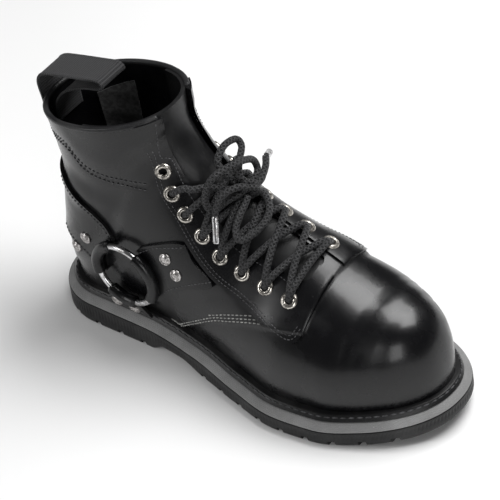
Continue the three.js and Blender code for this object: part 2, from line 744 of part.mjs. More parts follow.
function ringTube(radius, from, to, steps, sides) {
  const whole = to - from >= 360;
  const count = whole ? steps : steps + 1;
  const points = [];
  for (let i = 0; i < count; i += 1) {
    const a = ((from + ((to - from) * i) / steps) * Math.PI) / 180;
    for (let k = 0; k < sides; k += 1) {
      const b = (2 * Math.PI * k) / sides;
      const r = RING.radius + radius * Math.cos(b);
      points.push([ringX + r * Math.cos(a), ringY + radius * Math.sin(b), ringZ + r * Math.sin(a)]);
    }
  }
  const triangles = [];
  const id = (i, k) => (i % count) * sides + (k % sides);
  for (let i = 0; i < (whole ? count : count - 1); i += 1) {
    for (let k = 0; k < sides; k += 1) {
      triangles.push([id(i, k), id(i, k + 1), id(i + 1, k + 1)], [id(i, k), id(i + 1, k + 1), id(i + 1, k)]);
    }
  }
  if (!whole) {
    for (let k = 1; k < sides - 1; k += 1) {
      triangles.push([id(0, 0), id(0, k + 1), id(0, k)]);
      triangles.push([id(count - 1, 0), id(count - 1, k), id(count - 1, k + 1)]);
    }
  }
  return weld(points, triangles);
}
add('harness_ring', ringTube(RING.wire, 0, 360, 36, 8), material(STEEL, 0.25, 1));

const channel = solid(ringTube(RING.wire + GAP + 0.1, 0, 360, 36, 8));
const filled = solid(shell(
  faceGrid(GAP, rows, columns),
  rows.map((at) => columns.map(() => {
    const s = section(at);
    const mid = [(s.top.x + s.foot.x) / 2, s.centre, (s.top.z + s.foot.z) / 2];
    return mid;
  })),
));
function strap(outline, fromY, toY, fromAngle, toAngle) {
  const band = panel(outline, fromY, toY, STRAP_THICK);
  const loop = solid(ringTube(RING.wire + GAP + LOOP_WALL, fromAngle, toAngle, 6, 8));
  return band.add(loop.subtract(filled)).subtract(channel);
}
const HEEL_STRAP = [
  { along: -0.20, up: 0.665 },
  { along: 0.06, up: 0.640 },
  { along: 0.120, up: 0.590 },
  { along: 0.165, up: 0.535 },
  { along: 0.202, up: 0.478 },
  { along: 0.212, up: 0.440 },
  { along: 0.182, up: 0.385 },
  { along: 0.176, up: 0.310 },
  { along: 0.155, up: 0.300 },
  { along: 0.100, up: 0.325 },
  { along: 0.03, up: 0.375 },
  { along: -0.20, up: 0.43 },
];
const HEEL_STRAP_MEDIAL = [
  { along: -0.20, up: 0.665 },
  { along: 0.06, up: 0.640 },
  { along: 0.120, up: 0.585 },
  { along: 0.185, up: 0.50 },
  { along: 0.215, up: 0.40 },
  { along: 0.100, up: 0.330 },
  { along: 0.03, up: 0.375 },
  { along: -0.20, up: 0.43 },
];
const FRONT_STRAP = [
  { along: 0.272, up: 0.430 },
  { along: 0.280, up: 0.470 },
  { along: 0.325, up: 0.512 },
  { along: 0.398, up: 0.545 },
  { along: 0.432, up: 0.490 },
  { along: 0.486, up: 0.430 },
  { along: 0.420, up: 0.385 },
  { along: 0.365, up: 0.330 },
  { along: 0.325, up: 0.262 },
  { along: 0.300, up: 0.275 },
  { along: 0.304, up: 0.36 },
];
// Short strap from the ring down to the welt: places along, heights and depths of its two ends.
const TAB = {
  topFrom: 0.178, topTo: 0.268, top: 0.225, topY: -0.362,
  baseFrom: 0.165, baseTo: 0.285, base: 0.145, baseY: -0.318,
};
// Middle of the tab's plate at a share across and a share up.
function tabPoint(across, rise) {
  const mix = (low, high) => low + (high - low) * rise;
  const from = upperX(mix(TAB.baseFrom, TAB.topFrom));
  const to = upperX(mix(TAB.baseTo, TAB.topTo));
  const x = from + (to - from) * across;
  return [x, BALL_WIDTH * mix(TAB.baseY, TAB.topY), COLLAR_HEIGHT * mix(TAB.base, TAB.top)];
}
function tabPlate() {
  const plate = new THREE.BoxGeometry(1, STRAP_THICK, 1, 3, 1, 2);
  const place = plate.attributes.position;
  for (let i = 0; i < place.count; i += 1) {
    const p = tabPoint(place.getX(i) + 0.5, place.getZ(i) + 0.5);
    place.setXYZ(i, p[0], p[1] + place.getY(i), p[2]);
  }
  return solid(plate);
}
const heelLateral = strap(onBoot(HEEL_STRAP), -BALL_WIDTH, 1, 116, 196);
const heelMedial = panel(onBoot(HEEL_STRAP_MEDIAL), 0, BALL_WIDTH, STRAP_THICK);
add('strap_heel', geometryOf(heelLateral.add(heelMedial)), material(LEATHER, 0.4, 0));
const frontStrap = strap(onBoot(FRONT_STRAP), -BALL_WIDTH, 0, -32, 60);
add('strap_front', geometryOf(frontStrap), material(LEATHER, 0.4, 0));
const tabLoop = solid(ringTube(RING.wire + GAP + LOOP_WALL, 230, 282, 4, 8));
const tab = tabPlate().add(tabLoop).subtract(filled).subtract(channel);
add('strap_tab', geometryOf(tab), material(LEATHER, 0.4, 0));

// Rivets on the straps: station and place across.
const RIVET_RADIUS = 4.3;
const RIVET_RISE = 1.4;
const RIVETS = [
  { name: 'rivet_heel_upper', at: 10.33, u: -0.57 },
  { name: 'rivet_heel_lower', at: 10.4, u: -0.645 },
  { name: 'rivet_front_upper', at: 6.68, u: -0.57 },
  { name: 'rivet_front_lower', at: 6.21, u: -0.61 },
];
// The tab's rivets sit just under its loop round the ring.
const loopFoot = ringZ - RING.radius - RING.wire - GAP - LOOP_WALL;
const tabSeatRise = ((loopFoot - RIVET_RADIUS) / COLLAR_HEIGHT - TAB.base) / (TAB.top - TAB.base);
const TAB_RIVETS = [
  { name: 'rivet_tab_back', across: 0.20, rise: tabSeatRise },
  { name: 'rivet_tab_front', across: 0.68, rise: tabSeatRise },
];
function rivetHead() {
  const profile = [
    [0, 0],
    [RIVET_RADIUS, 0],
    [RIVET_RADIUS, RIVET_RISE * 0.4],
    [RIVET_RADIUS * 0.7, RIVET_RISE],
    [0, RIVET_RISE],
  ].map(([r, h]) => new THREE.Vector2(r, h));
  const head = new THREE.LatheGeometry(profile, 10);
  head.rotateX(Math.PI / 2);
  return head;
}
RIVETS.forEach((row) => {
  const stand = faceFrame(row.at, row.u, GAP + STRAP_THICK + SEAT);
  add(row.name, placed(rivetHead(), stand), material(STEEL, 0.35, 1));
});
TAB_RIVETS.forEach((row) => {
  const corner = (across, rise) => new THREE.Vector3(...tabPoint(across, rise));
  const out = new THREE.Vector3().crossVectors(
    corner(1, row.rise).sub(corner(0, row.rise)), corner(row.across, 1).sub(corner(row.across, 0)),
  ).normalize();
  const x = new THREE.Vector3().crossVectors(new THREE.Vector3(0, 0, 1), out).normalize();
  const y = new THREE.Vector3().crossVectors(out, x);
  const middle = corner(row.across, row.rise).addScaledVector(out, STRAP_THICK / 2 + GAP);
  const stand = new THREE.Matrix4().makeBasis(x, y, out).setPosition(middle);
  add(row.name, placed(rivetHead(), stand), material(STEEL, 0.35, 1));
});

// Laces: crossings as joined solids lying over the throat.
const LACE_RADIUS = 2.1;
const LACE_SIDES = 8;
const LACE_LIFT = GAP + FACING_THICK + LACE_RADIUS + 1.0;
const LACE_CLEAR = 0.20;

function cordGeometry(points, radius, steps) {
  const path = new THREE.CatmullRomCurve3(points.map((p) => new THREE.Vector3(...p)));
  const shape = new THREE.Shape();
  for (let i = 0; i < LACE_SIDES; i += 1) {
    const a = (2 * Math.PI * i) / LACE_SIDES;
    const x = radius * Math.cos(a);
    const y = radius * Math.sin(a);
    if (i === 0) shape.moveTo(x, y);
    else shape.lineTo(x, y);
  }
  shape.closePath();
  const settings = { steps, bevelEnabled: false, extrudePath: path, curveSegments: 1 };
  return new THREE.ExtrudeGeometry(shape, settings);
}

function lacePath(from, to, lift, clear = LACE_CLEAR) {
  const points = [];
  for (let i = 0; i <= 4; i += 1) {
    const t = clear + ((1 - 2 * clear) * i) / 4;
    const at = from.at + (to.at - from.at) * t;
    const u = from.u + (to.u - from.u) * t;
    points.push(offsetPoint(at, u, lift));
  }
  return points;
}

function crossing(low, high) {
  const one = lacePath({ at: low.at, u: low.lateral }, { at: high.at, u: high.medial }, LACE_LIFT);
  const upperLift = LACE_LIFT + LACE_RADIUS;
  const two = lacePath({ at: low.at, u: low.medial }, { at: high.at, u: high.lateral }, upperLift);
  return solid(cordGeometry(one, LACE_RADIUS, 4)).add(solid(cordGeometry(two, LACE_RADIUS, 4)));
}
for (let i = EYELETS.length - 1; i > 3; i -= 1) {
  add(`lace_crossing_${EYELETS.length - i}`, geometryOf(crossing(EYELETS[i], EYELETS[i - 1])),
    material(CLOTH, 0.8, 0));
}
const lowRow = EYELETS[EYELETS.length - 1];
const BAR_CLEAR = 0.26;
const barEnds = [{ at: lowRow.at, u: lowRow.lateral }, { at: lowRow.at, u: lowRow.medial }];
const lowPath = lacePath(barEnds[0], barEnds[1], LACE_LIFT, BAR_CLEAR);
add('lace_bar', cordGeometry(lowPath, LACE_RADIUS, 5), material(CLOTH, 0.8, 0));

// Free lace: knot, bow loops, ends and the run from an eyelet, each along a way given by
// station, place across and height over the face.
const KNOT_RADIUS = 4.4;
const BOW = [
  { name: 'lace_knot', steps: 4, radius: KNOT_RADIUS, way: [
    { at: 5.92, u: 0, lift: 13 },
    { at: 5.66, u: -0.03, lift: 14 },
    { at: 5.42, u: -0.045, lift: 13 },
  ] },
  { name: 'lace_loop_upper', steps: 18, radius: LACE_RADIUS, way: [
    { at: 6.02, u: 0.075, lift: 16 },
    { at: 6.35, u: 0.05, lift: 20 },
    { at: 6.72, u: -0.03, lift: 23 },
    { at: 6.95, u: -0.11, lift: 21 },
    { at: 6.78, u: -0.17, lift: 15 },
    { at: 6.42, u: -0.225, lift: 9 },
    { at: 6.12, u: -0.225, lift: 7.5 },
    { at: 5.98, u: -0.155, lift: 9 },
    { at: 5.86, u: -0.105, lift: 11.5 },
  ] },
  { name: 'lace_loop_lower', steps: 16, radius: LACE_RADIUS, way: [
    { at: 5.28, u: 0.005, lift: 11 },
    { at: 4.88, u: -0.03, lift: 13 },
    { at: 4.62, u: -0.1, lift: 13 },
    { at: 4.65, u: -0.19, lift: 12.5 },
    { at: 4.88, u: -0.26, lift: 12 },
    { at: 5.18, u: -0.235, lift: 12 },
    { at: 5.36, u: -0.165, lift: 12 },
    { at: 5.44, u: -0.115, lift: 11.5 },
  ] },
  { name: 'lace_loop_top', steps: 16, radius: LACE_RADIUS, way: [
    { at: 6.25, u: -0.02, lift: 13.5 },
    { at: 6.6, u: 0.03, lift: 15.5 },
    { at: 6.95, u: 0.095, lift: 17 },
    { at: 7.38, u: 0.1, lift: 17 },
    { at: 7.55, u: 0.035, lift: 14 },
    { at: 7.2, u: -0.035, lift: 11 },
    { at: 6.7, u: -0.045, lift: 9.5 },
    { at: 6.3, u: -0.045, lift: 8.3 },
  ] },
  { name: 'lace_end_lateral', steps: 8, radius: LACE_RADIUS, way: [
    { at: 6.04, u: -0.085, lift: 15.5 },
    { at: 6.22, u: -0.14, lift: 16 },
    { at: 6.14, u: -0.195, lift: 14 },
    { at: 5.98, u: -0.235, lift: 12 },
  ] },
  { name: 'lace_end_medial', steps: 8, radius: LACE_RADIUS, way: [
    { at: 5.72, u: 0.065, lift: 16 },
    { at: 5.82, u: 0.1, lift: 18.5 },
    { at: 6.02, u: 0.135, lift: 19.5 },
  ] },
  { name: 'lace_run_lateral', steps: 8, radius: LACE_RADIUS, way: [
    { at: 7.42, u: -0.235, lift: 5.2 },
    { at: 7.15, u: -0.215, lift: 6 },
    { at: 6.85, u: -0.17, lift: 6.5 },
    { at: 6.5, u: -0.13, lift: 7 },
    { at: 6.2, u: -0.1, lift: 7.5 },
  ] },
];
BOW.forEach((cord) => {
  const points = cord.way.map((row) => offsetPoint(row.at, row.u, row.lift));
  add(cord.name, cordGeometry(points, cord.radius, cord.steps), material(CLOTH, 0.8, 0));
});

// Metal tips on the two free ends, along the direction the ends arrive in.
const AGLET_RADIUS = 2.6;
const AGLETS = [
  {
    name: 'aglet_lateral',
    from: { at: 5.93, u: -0.25, lift: 12.4 },
    to: { at: 5.46, u: -0.335, lift: 10.4 },
  },
  { name: 'aglet_medial', from: { at: 6.05, u: 0.144, lift: 19.8 }, to: { at: 6.10, u: 0.195, lift: 21.5 } },
];
AGLETS.forEach((row) => {
  const ends = [row.from, row.to].map((q) => offsetPoint(q.at, q.u, q.lift));
  const middle = [0, 1, 2].map((k) => (ends[0][k] + ends[1][k]) / 2);
  add(row.name, cordGeometry([ends[0], middle, ends[1]], AGLET_RADIUS, 1), material(STEEL, 0.3, 1));
});

// Zip: chain in the slot, slider at its top, pull ring and tab.
const CHAIN_SINK = 1.6;
const ZIP_STOP = 0.80;
const chainBand = solid(shell(faceGrid(-0.2, rows, columns), faceGrid(-CHAIN_SINK, rows, columns)));
const chain = chainBand.intersect(zipPrism(GAP, ZIP.low + 0.004, ZIP_STOP));
add('zip_chain', geometryOf(chain), material(STEEL, 0.4, 1));

// Slider with its crown, and the pull hung in the crown by its top bar.
const SLIDER = { width: 8.6, height: 11, thick: 2.4, up: 0.765, lift: 1.2 };
const CROWN = { width: 2.2, span: 8, opening: 4.6, rise: 2.2, roof: 1.3 };
const PULL = { width: 8, length: 24, thick: 1.3, window: 4.6, bar: 1.3, side: 1.4 };

// Place on the outer face nearest to a point of the side view.
function placeOn(x, z, sign) {
  let best = { at: 12, u: sign * 0.5, miss: Infinity };
  let span = 1;
  for (let pass = 0; pass < 6; pass += 1) {
    const centre = best;
    for (let i = -8; i <= 8; i += 1) {
      for (let k = -8; k <= 8; k += 1) {
        const at = clamp(centre.at + (i / 8) * 3 * span, 1, COLLAR_AT);
        const u = sign * clamp(Math.abs(centre.u) + (k / 8) * 0.4 * span, 0.02, 0.98);
        const p = facePoint(at, u);
        const miss = Math.hypot(p[0] - x, p[2] - z);
        if (miss < best.miss) best = { at, u, miss };
      }
    }
    span *= 0.35;
  }
  return best;
}

function block(x0, x1, y0, y1, z0, z1) {
  const box = new THREE.BoxGeometry(x1 - x0, y1 - y0, z1 - z0);
  box.translate((x0 + x1) / 2, (y0 + y1) / 2, (z0 + z1) / 2);
  return solid(box);
}
const sliderPlace = placeOn(zipX(SLIDER.up), COLLAR_HEIGHT * SLIDER.up, 1);
const sliderFrame = faceFrame(sliderPlace.at, sliderPlace.u, SLIDER.lift);
function sliderBody() {
  const w = SLIDER.width / 2;
  const h = SLIDER.height / 2;
  const c = CROWN.width / 2;
  const s = CROWN.span / 2;
  const o = CROWN.opening / 2;
  const top = SLIDER.thick + CROWN.rise;
  return joined([
    block(-w, w, -h, h, 0, SLIDER.thick),
    block(-c, c, -s, -o, SLIDER.thick - 0.5, top + CROWN.roof),
    block(-c, c, o, s, SLIDER.thick - 0.5, top + CROWN.roof),
    block(-c, c, -s, s, top, top + CROWN.roof),
  ]);
}
const barDrop = -CROWN.opening / 2 + PULL.bar / 2 + 0.35;
const barLift = SLIDER.thick + CROWN.rise - PULL.thick / 2 - 0.4;
function pullBody() {
  const w = PULL.width / 2;
  const low = barLift - PULL.thick / 2;
  const high = barLift + PULL.thick / 2;
  const top = barDrop + PULL.bar / 2;
  const plate = block(-w, w, top - PULL.length, top, low, high);
  const inner = w - PULL.side;
  const sill = top - PULL.bar - PULL.window;
  return plate.subtract(block(-inner, inner, sill, top - PULL.bar, low - 1, high + 1));
}
add('zip_slider', placed(geometryOf(sliderBody()), sliderFrame), material(STEEL, 0.35, 1));
add('zip_pull', placed(geometryOf(pullBody()), sliderFrame), material(STEEL, 0.35, 1));

// Pull loop of woven tape over the back of the collar: side path and half width.
const TAPE_HALF = 11.5;
const TAPE_THICK = 1.6;
const TAPE = [
  { back: -5.4, up: 0.775 },
  { back: -6.8, up: 0.86 },
  { back: -8.3, up: 0.93 },
  { back: -3.5, up: 0.975 },
  { back: 12, up: 1.005 },
  { back: 34, up: 1.035 },
  { back: 44, up: 1.045 },
  { back: 47.5, up: 1.030 },
  { back: 44, up: 1.010 },
  { back: 30, up: 0.985 },
  { back: 14, up: 0.935 },
  { back: 5.5, up: 0.87 },
  { back: 5.2, up: 0.79 },
];
function tapeBand() {
  const centre = TAPE.map((row) => [FEATHER_BACK + row.back, COLLAR_HEIGHT * row.up]);
  const line = curved(centre, false, 26);
  const left = [];
  const right = [];
  line.forEach((p, i) => {
    const a = line[Math.max(i - 1, 0)];
    const b = line[Math.min(i + 1, line.length - 1)];
    const size = Math.hypot(b[0] - a[0], b[1] - a[1]);
    const nx = (-(b[1] - a[1]) / size) * (TAPE_THICK / 2);
    const nz = ((b[0] - a[0]) / size) * (TAPE_THICK / 2);
    left.push([p[0] + nx, p[1] + nz]);
    right.push([p[0] - nx, p[1] - nz]);
  });
  const shape = new THREE.Shape([...left, ...right.reverse()].map(([x, z]) => new THREE.Vector2(x, z)));
  const geometry = new THREE.ExtrudeGeometry(shape, { depth: 2 * TAPE_HALF, bevelEnabled: false });
  geometry.rotateX(Math.PI / 2);
  geometry.translate(0, TAPE_HALF, 0);
  return geometry;
}
add('pull_loop', tapeBand(), material(CLOTH, 0.85, 0));

export default boot;
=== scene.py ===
# %% [markdown]
# # A laced harness boot
# The boot is a thin leather shell pulled over a last and stitched to a layered rubber sole. Its
# shape comes from a few section tables, so every seam, strap and stitch can be placed by where it
# lies on the shell: a station along the foot and a share around it. We load the measured frame
# first, and build each visible piece around it.

# %% Frame
import bpy
import math
import numpy as np
from mathutils import Matrix, Vector


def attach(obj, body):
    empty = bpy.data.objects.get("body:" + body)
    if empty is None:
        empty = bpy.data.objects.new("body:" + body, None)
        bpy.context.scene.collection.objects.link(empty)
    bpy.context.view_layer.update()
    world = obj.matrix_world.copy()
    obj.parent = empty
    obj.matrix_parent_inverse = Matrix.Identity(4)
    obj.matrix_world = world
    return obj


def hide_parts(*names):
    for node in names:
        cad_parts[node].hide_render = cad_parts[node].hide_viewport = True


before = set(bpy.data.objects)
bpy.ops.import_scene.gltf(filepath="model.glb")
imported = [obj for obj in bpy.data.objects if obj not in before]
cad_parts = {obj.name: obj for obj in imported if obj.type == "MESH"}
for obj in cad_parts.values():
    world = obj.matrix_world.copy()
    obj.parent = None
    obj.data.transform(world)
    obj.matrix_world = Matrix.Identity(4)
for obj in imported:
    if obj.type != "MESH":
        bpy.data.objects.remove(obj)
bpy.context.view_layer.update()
MM = 0.001

# %% [markdown]
# ## Sizes and section tables
# These are the sizes the solids were made from, in millimetres. The tables hold shares of them.

# %% Main sizes
SOLE_LENGTH = 296.0
BALL_WIDTH = 114.0
COLLAR_HEIGHT = 182.0
HEEL_STACK = 16.5
MIDSOLE_HEIGHT = 4.6
WELT_HEIGHT = 3.8
WELT_SLOPE = 3.2
WELT_LEDGE = 2.0
BAND_SLOPE = 5.0
BAND_LIP = 0.5
WALL = 2.0
GAP = 0.3
SOLE_BACK = -38.0
SOLE_TIP = SOLE_BACK + SOLE_LENGTH
FEATHER_INSET = BAND_LIP + BAND_SLOPE + WELT_SLOPE + WELT_LEDGE
FEATHER_BACK = SOLE_BACK + FEATHER_INSET
UPPER_LENGTH = SOLE_TIP - FEATHER_INSET - FEATHER_BACK
MIDSOLE_BASE = GAP
MIDSOLE_TOP = MIDSOLE_BASE + MIDSOLE_HEIGHT
WELT_BASE = MIDSOLE_TOP + GAP
WELT_TOP = WELT_BASE + WELT_HEIGHT
FEATHER_RISE = WELT_TOP + GAP

# %% Tables
OUTLINE = dict(
    at=[0.00, 0.12, 0.28, 0.42, 0.55, 0.66, 0.76, 0.86, 1.00],
    lateral=[0.350, 0.358, 0.352, 0.385, 0.462, 0.513, 0.505, 0.465, 0.410],
    medial=[0.350, 0.352, 0.325, 0.305, 0.370, 0.448, 0.478, 0.462, 0.410],
    shift=[0.00, 0.00, 0.00, 0.00, 0.00, 0.00, 0.02, 0.05, 0.08])
HEEL_CAP, TOE_CAP, CAP_POWER = 0.13, 0.25, 2.2
RUN = dict(
    at=[0.00, 0.04, 0.29, 0.33, 0.38, 0.45, 0.60, 0.76, 0.86, 0.94, 1.00],
    bottom=[0.04, 0.00, 0.00, 0.34, 0.34, 0.00, 0.00, 0.00, 0.12, 0.32, 0.56],
    top=[1.00, 1.00, 0.98, 0.95, 0.90, 0.80, 0.68, 0.66, 0.78, 0.98, 1.20])
TOE_JOIN, TOE_HEIGHT, TOE_POWER, HEEL_AT = 0.845, 0.32, 2.25, 10
SECTIONS = dict(
    at=list(range(1, 16)),
    footX=[0.845, 0.755, 0.665, 0.56, 0.45, 0.34, 0.23, 0.135, 0.055, 0, -0.012, 0.002, 0.014, 0.004, -0.012],
    footZ=[0, 0, 0, 0, 0, 0, 0, 0, 0, 0, 0.12, 0.31, 0.5, 0.69, 0.87],
    topX=[0.845, 0.765, 0.685, 0.605, 0.53, 0.468, 0.418, 0.386, 0.367, 0.357, 0.351, 0.348, 0.347,
          0.346, 0.346],
    topZ=[0.433, 0.486, 0.534, 0.58, 0.632, 0.694, 0.76, 0.814, 0.856, 0.888, 0.917, 0.942, 0.963,
          0.983, 1.0],
    lateral=[0.3, 0.34, 0.36, 0.35, 0.335, 0.325, 0.32, 0.315, 0.31, 0.305, 0.305, 0.31, 0.315, 0.32, 0.325],
    medial=[0.32, 0.355, 0.355, 0.33, 0.305, 0.3, 0.3, 0.3, 0.3, 0.3, 0.3, 0.305, 0.31, 0.315, 0.32],
    full=[0.9, 0.94, 1.0, 1.05, 1.06, 1.05, 1.03, 1.0, 0.95, 0.95, 0.96, 0.96, 0.95, 0.95, 0.95],
    heel=[0.9, 0.94, 1.0, 1.05, 1.06, 1.05, 1.03, 1.0, 0.90, 0.74, 0.80, 0.88, 0.93, 0.95, 0.95],
    ridge=[0.04, 0.065, 0.085, 0.09, 0.085, 0.075, 0.06, 0.05, 0.045, 0.04, 0.035, 0.03, 0.03, 0.03, 0.03])
COLLAR_AT = 15
EYELETS = [(9.0, -0.26, 0.34), (7.75, -0.31, 0.29), (6.82, -0.34, 0.235), (6.02, -0.37, 0.175),
           (5.28, -0.40, 0.125), (4.53, -0.40, 0.105), (3.78, -0.385, 0.10), (3.02, -0.36, 0.10)]

# %% Curves through a table
def smooth(table, key, at):
    """Cubic through a column; its slopes are the harmonic mean of the rises beside each row."""
    x, y = np.array(table["at"], float), np.array(table[key], float)
    h = np.diff(x)
    d = np.diff(y) / h
    m = np.zeros(len(x))
    m[0], m[-1] = d[0], d[-1]
    same = d[:-1] * d[1:] > 0
    total = np.where(same, d[:-1] + d[1:], 1.0)
    m[1:-1] = np.where(same, 2 * d[:-1] * d[1:] / total, 0.0)
    at = np.asarray(at, float)
    i = np.clip(np.searchsorted(x, at, side="right") - 1, 0, len(x) - 2)
    t = np.clip((at - x[i]) / h[i], 0, 1)
    return ((2 * t**3 - 3 * t**2 + 1) * y[i] + (t**3 - 2 * t**2 + t) * m[i] * h[i]
            + (-2 * t**3 + 3 * t**2) * y[i + 1] + (t**3 - t**2) * m[i + 1] * h[i])

def end_cap(share):
    """Superellipse that closes the outline at heel and toe."""
    low = np.clip((HEEL_CAP - share) / HEEL_CAP, 0, 1)
    high = np.clip((share - 1 + TOE_CAP) / TOE_CAP, 0, 1)
    return (1 - low**CAP_POWER) ** (1 / CAP_POWER) * (1 - high**CAP_POWER) ** (1 / CAP_POWER)

def ground_point(turn):
    """Outline of the sole: the cosine of turn runs along, the tables give the half widths."""
    share = (1 - np.cos(turn)) / 2
    lateral = np.sin(turn) >= 0
    half = BALL_WIDTH * np.where(lateral, smooth(OUTLINE, "lateral", share), smooth(OUTLINE, "medial", share))
    y = BALL_WIDTH * smooth(OUTLINE, "shift", share) + np.where(lateral, -1, 1) * half * end_cap(share)
    return np.stack([SOLE_BACK + SOLE_LENGTH * share, y], -1)

def outline_point(turn, inset):
    """The outline moved inwards along its own normal."""
    small = 0.004
    d = ground_point(turn + small) - ground_point(turn - small)
    d /= np.linalg.norm(d, axis=-1, keepdims=True)
    return ground_point(turn) + np.stack([-d[..., 1], d[..., 0]], -1) * np.asarray(inset)[..., None]

def run_height(key, x):
    """Height of the sole's top or bottom at a place along it."""
    return HEEL_STACK * smooth(RUN, key, np.clip((np.asarray(x) - SOLE_BACK) / SOLE_LENGTH, 0, 1))

def feather_height(x):
    """Height of the shell's lower edge over the floor at a place along it."""
    return run_height("top", x) + FEATHER_RISE

half_turns = np.pi * np.arange(241) / 240
FEATHER = {"lateral": outline_point(half_turns, np.full(241, FEATHER_INSET)),
           "medial": outline_point(-half_turns, np.full(241, FEATHER_INSET))}
print("feather line from", FEATHER["lateral"][0], "to", FEATHER["lateral"][-1])

# %% [markdown]
# ## The shell of the upper
# A section runs from the instep down both sides to the feather line. Towards the toe the sections
# shrink to the tip, and behind the ankle they lean back until they close at the heel. A point is
# found by its station and its share around, from -1 at the outer foot edge over 0 on the ridge to 1.

# %% Section and face
def section(at):
    """Top and foot points, half widths and end angles of the sections at an array of stations."""
    toe = at < 1
    angle = np.where(toe, at, 1) * np.pi / 2
    foot_x = np.where(toe, TOE_JOIN + (1 - TOE_JOIN) * np.cos(angle), smooth(SECTIONS, "footX", at))
    top_x = np.where(toe, foot_x, smooth(SECTIONS, "topX", at))
    cap = np.where(toe, np.clip(1 - np.cos(angle) ** TOE_POWER, 0, 1) ** (1 / TOE_POWER), 1)
    lift = np.where(toe, 0, smooth(SECTIONS, "footZ", at))
    x = FEATHER_BACK + UPPER_LENGTH * foot_x
    base = feather_height(x)
    join = COLLAR_HEIGHT * SECTIONS["topZ"][0] - feather_height(FEATHER_BACK + UPPER_LENGTH * TOE_JOIN)
    mix = (1 - foot_x) / (1 - TOE_JOIN)
    top_z = np.where(toe, base + cap * (join * mix + COLLAR_HEIGHT * TOE_HEIGHT * (1 - mix)),
                     COLLAR_HEIGHT * smooth(SECTIONS, "topZ", at))
    foot_z = base + lift * (COLLAR_HEIGHT - base)
    centre = BALL_WIDTH * smooth(OUTLINE, "shift", np.clip((x - SOLE_BACK) / SOLE_LENGTH, 0, 1))
    ridge = BALL_WIDTH * np.where(toe, SECTIONS["ridge"][0] * at, smooth(SECTIONS, "ridge", at))
    full, heel = smooth(SECTIONS, "full", at), smooth(SECTIONS, "heel", at)
    sides = {}
    for name in ("lateral", "medial"):
        line = FEATHER[name]
        edge = np.abs(np.interp(x, line[:, 0], line[:, 1]) - centre)
        wanted = np.where(toe, 0, BALL_WIDTH * smooth(SECTIONS, name, at))
        half = ((edge * 1.035) ** 8 + wanted**8) ** (1 / 8)
        closed = (foot_z > base + 0.01) | (edge < 0.01)
        ratio = np.where(closed, 0, np.clip(edge / np.maximum(half, 1e-6), 0, 0.999))
        sides[name] = (half, np.pi - np.arcsin(ratio ** (1 / heel)))
    top = np.stack([FEATHER_BACK + UPPER_LENGTH * top_x, top_z], -1)
    return top, np.stack([x, foot_z], -1), centre, ridge, full, heel, sides

def face_point(at, u):
    """Outer face: each half is a superellipse quarter, squarer where its power is below one."""
    at, u = np.broadcast_arrays(np.clip(np.asarray(at, float), 0, COLLAR_AT), np.asarray(u, float))
    top, foot, centre, ridge, full, heel, sides = section(at)
    lateral = u < 0
    half = np.where(lateral, sides["lateral"][0], sides["medial"][0])
    end = np.where(lateral, sides["lateral"][1], sides["medial"][1])
    angle = np.abs(u) * end
    def bend(v):
        """Signed power, heel below the widest place and full above it."""
        return np.sign(v) * np.abs(v) ** np.where(v < 0, heel, full)
    c = np.cos(angle)
    down = (1 - bend(c)) / (1 - bend(np.cos(end)))
    out = half * np.abs(np.sin(angle)) ** np.where(c < 0, heel, full) * np.where(lateral, -1, 1)
    return np.stack([top[..., 0] + (foot[..., 0] - top[..., 0]) * down,
                     centre + ridge * np.clip(1 - down, 0, 1) ** 1.5 + out,
                     top[..., 1] + (foot[..., 1] - top[..., 1]) * down], -1)

def face_normal(at, u):
    """Cross product of the steps across and along; round the closed heel the step across wraps over."""
    at, u = np.broadcast_arrays(np.asarray(at, float), np.asarray(u, float))
    ds, du = 0.02, 0.012
    safe = np.clip(at, 0.004, COLLAR_AT)
    sides = section(safe)[-1]
    end = np.where(u < 0, sides["lateral"][1], sides["medial"][1])
    shut = (np.abs(u) > 1 - du) & (end > np.pi - 1e-6)
    a = face_point(safe, np.where(shut, 1 - du, np.maximum(u - du, -1)))
    b = face_point(safe, np.where(shut, -1 + du, np.minimum(u + du, 1)))
    along = face_point(np.minimum(safe + ds, COLLAR_AT), u) - face_point(np.maximum(safe - ds, 0.004), u)
    n = np.cross(b - a, along)
    n /= np.maximum(np.linalg.norm(n, axis=-1, keepdims=True), 1e-9)
    n[at < 0.01] = (1, 0, 0)
    return n

# %% Place from a side view
def place(x, z, side):
    """Station and share of points of the side view, by Newton steps from the nearest of a coarse grid."""
    x, z = np.asarray(x, float), np.asarray(z, float)
    a, u = np.meshgrid(np.linspace(0.3, COLLAR_AT, 90), side * np.linspace(0.03, 0.97, 60), indexing="ij")
    p = face_point(a, u)
    away = (p[..., 0].ravel()[None] - x[:, None]) ** 2 + (p[..., 2].ravel()[None] - z[:, None]) ** 2
    near = np.argmin(away, 1)
    at, share = a.ravel()[near].copy(), u.ravel()[near].copy()
    for _ in range(8):
        p, pa, pu = face_point(at, share), face_point(at + 0.01, share), face_point(at, share + 0.002)
        j11, j12 = (pa[:, 0] - p[:, 0]) / 0.01, (pu[:, 0] - p[:, 0]) / 0.002
        j21, j22 = (pa[:, 2] - p[:, 2]) / 0.01, (pu[:, 2] - p[:, 2]) / 0.002
        det = j11 * j22 - j12 * j21
        det = np.where(np.abs(det) < 1, np.sign(det) + (det == 0), det)
        ex, ez = x - p[:, 0], z - p[:, 2]
        at = np.clip(at + 0.8 * np.clip((j22 * ex - j12 * ez) / det, -0.5, 0.5), 0.05, COLLAR_AT)
        step = np.clip((j11 * ez - j21 * ex) / det, -0.1, 0.1)
        share = side * np.clip(side * (share + 0.8 * step), 0.01, 0.99)
    return at, share

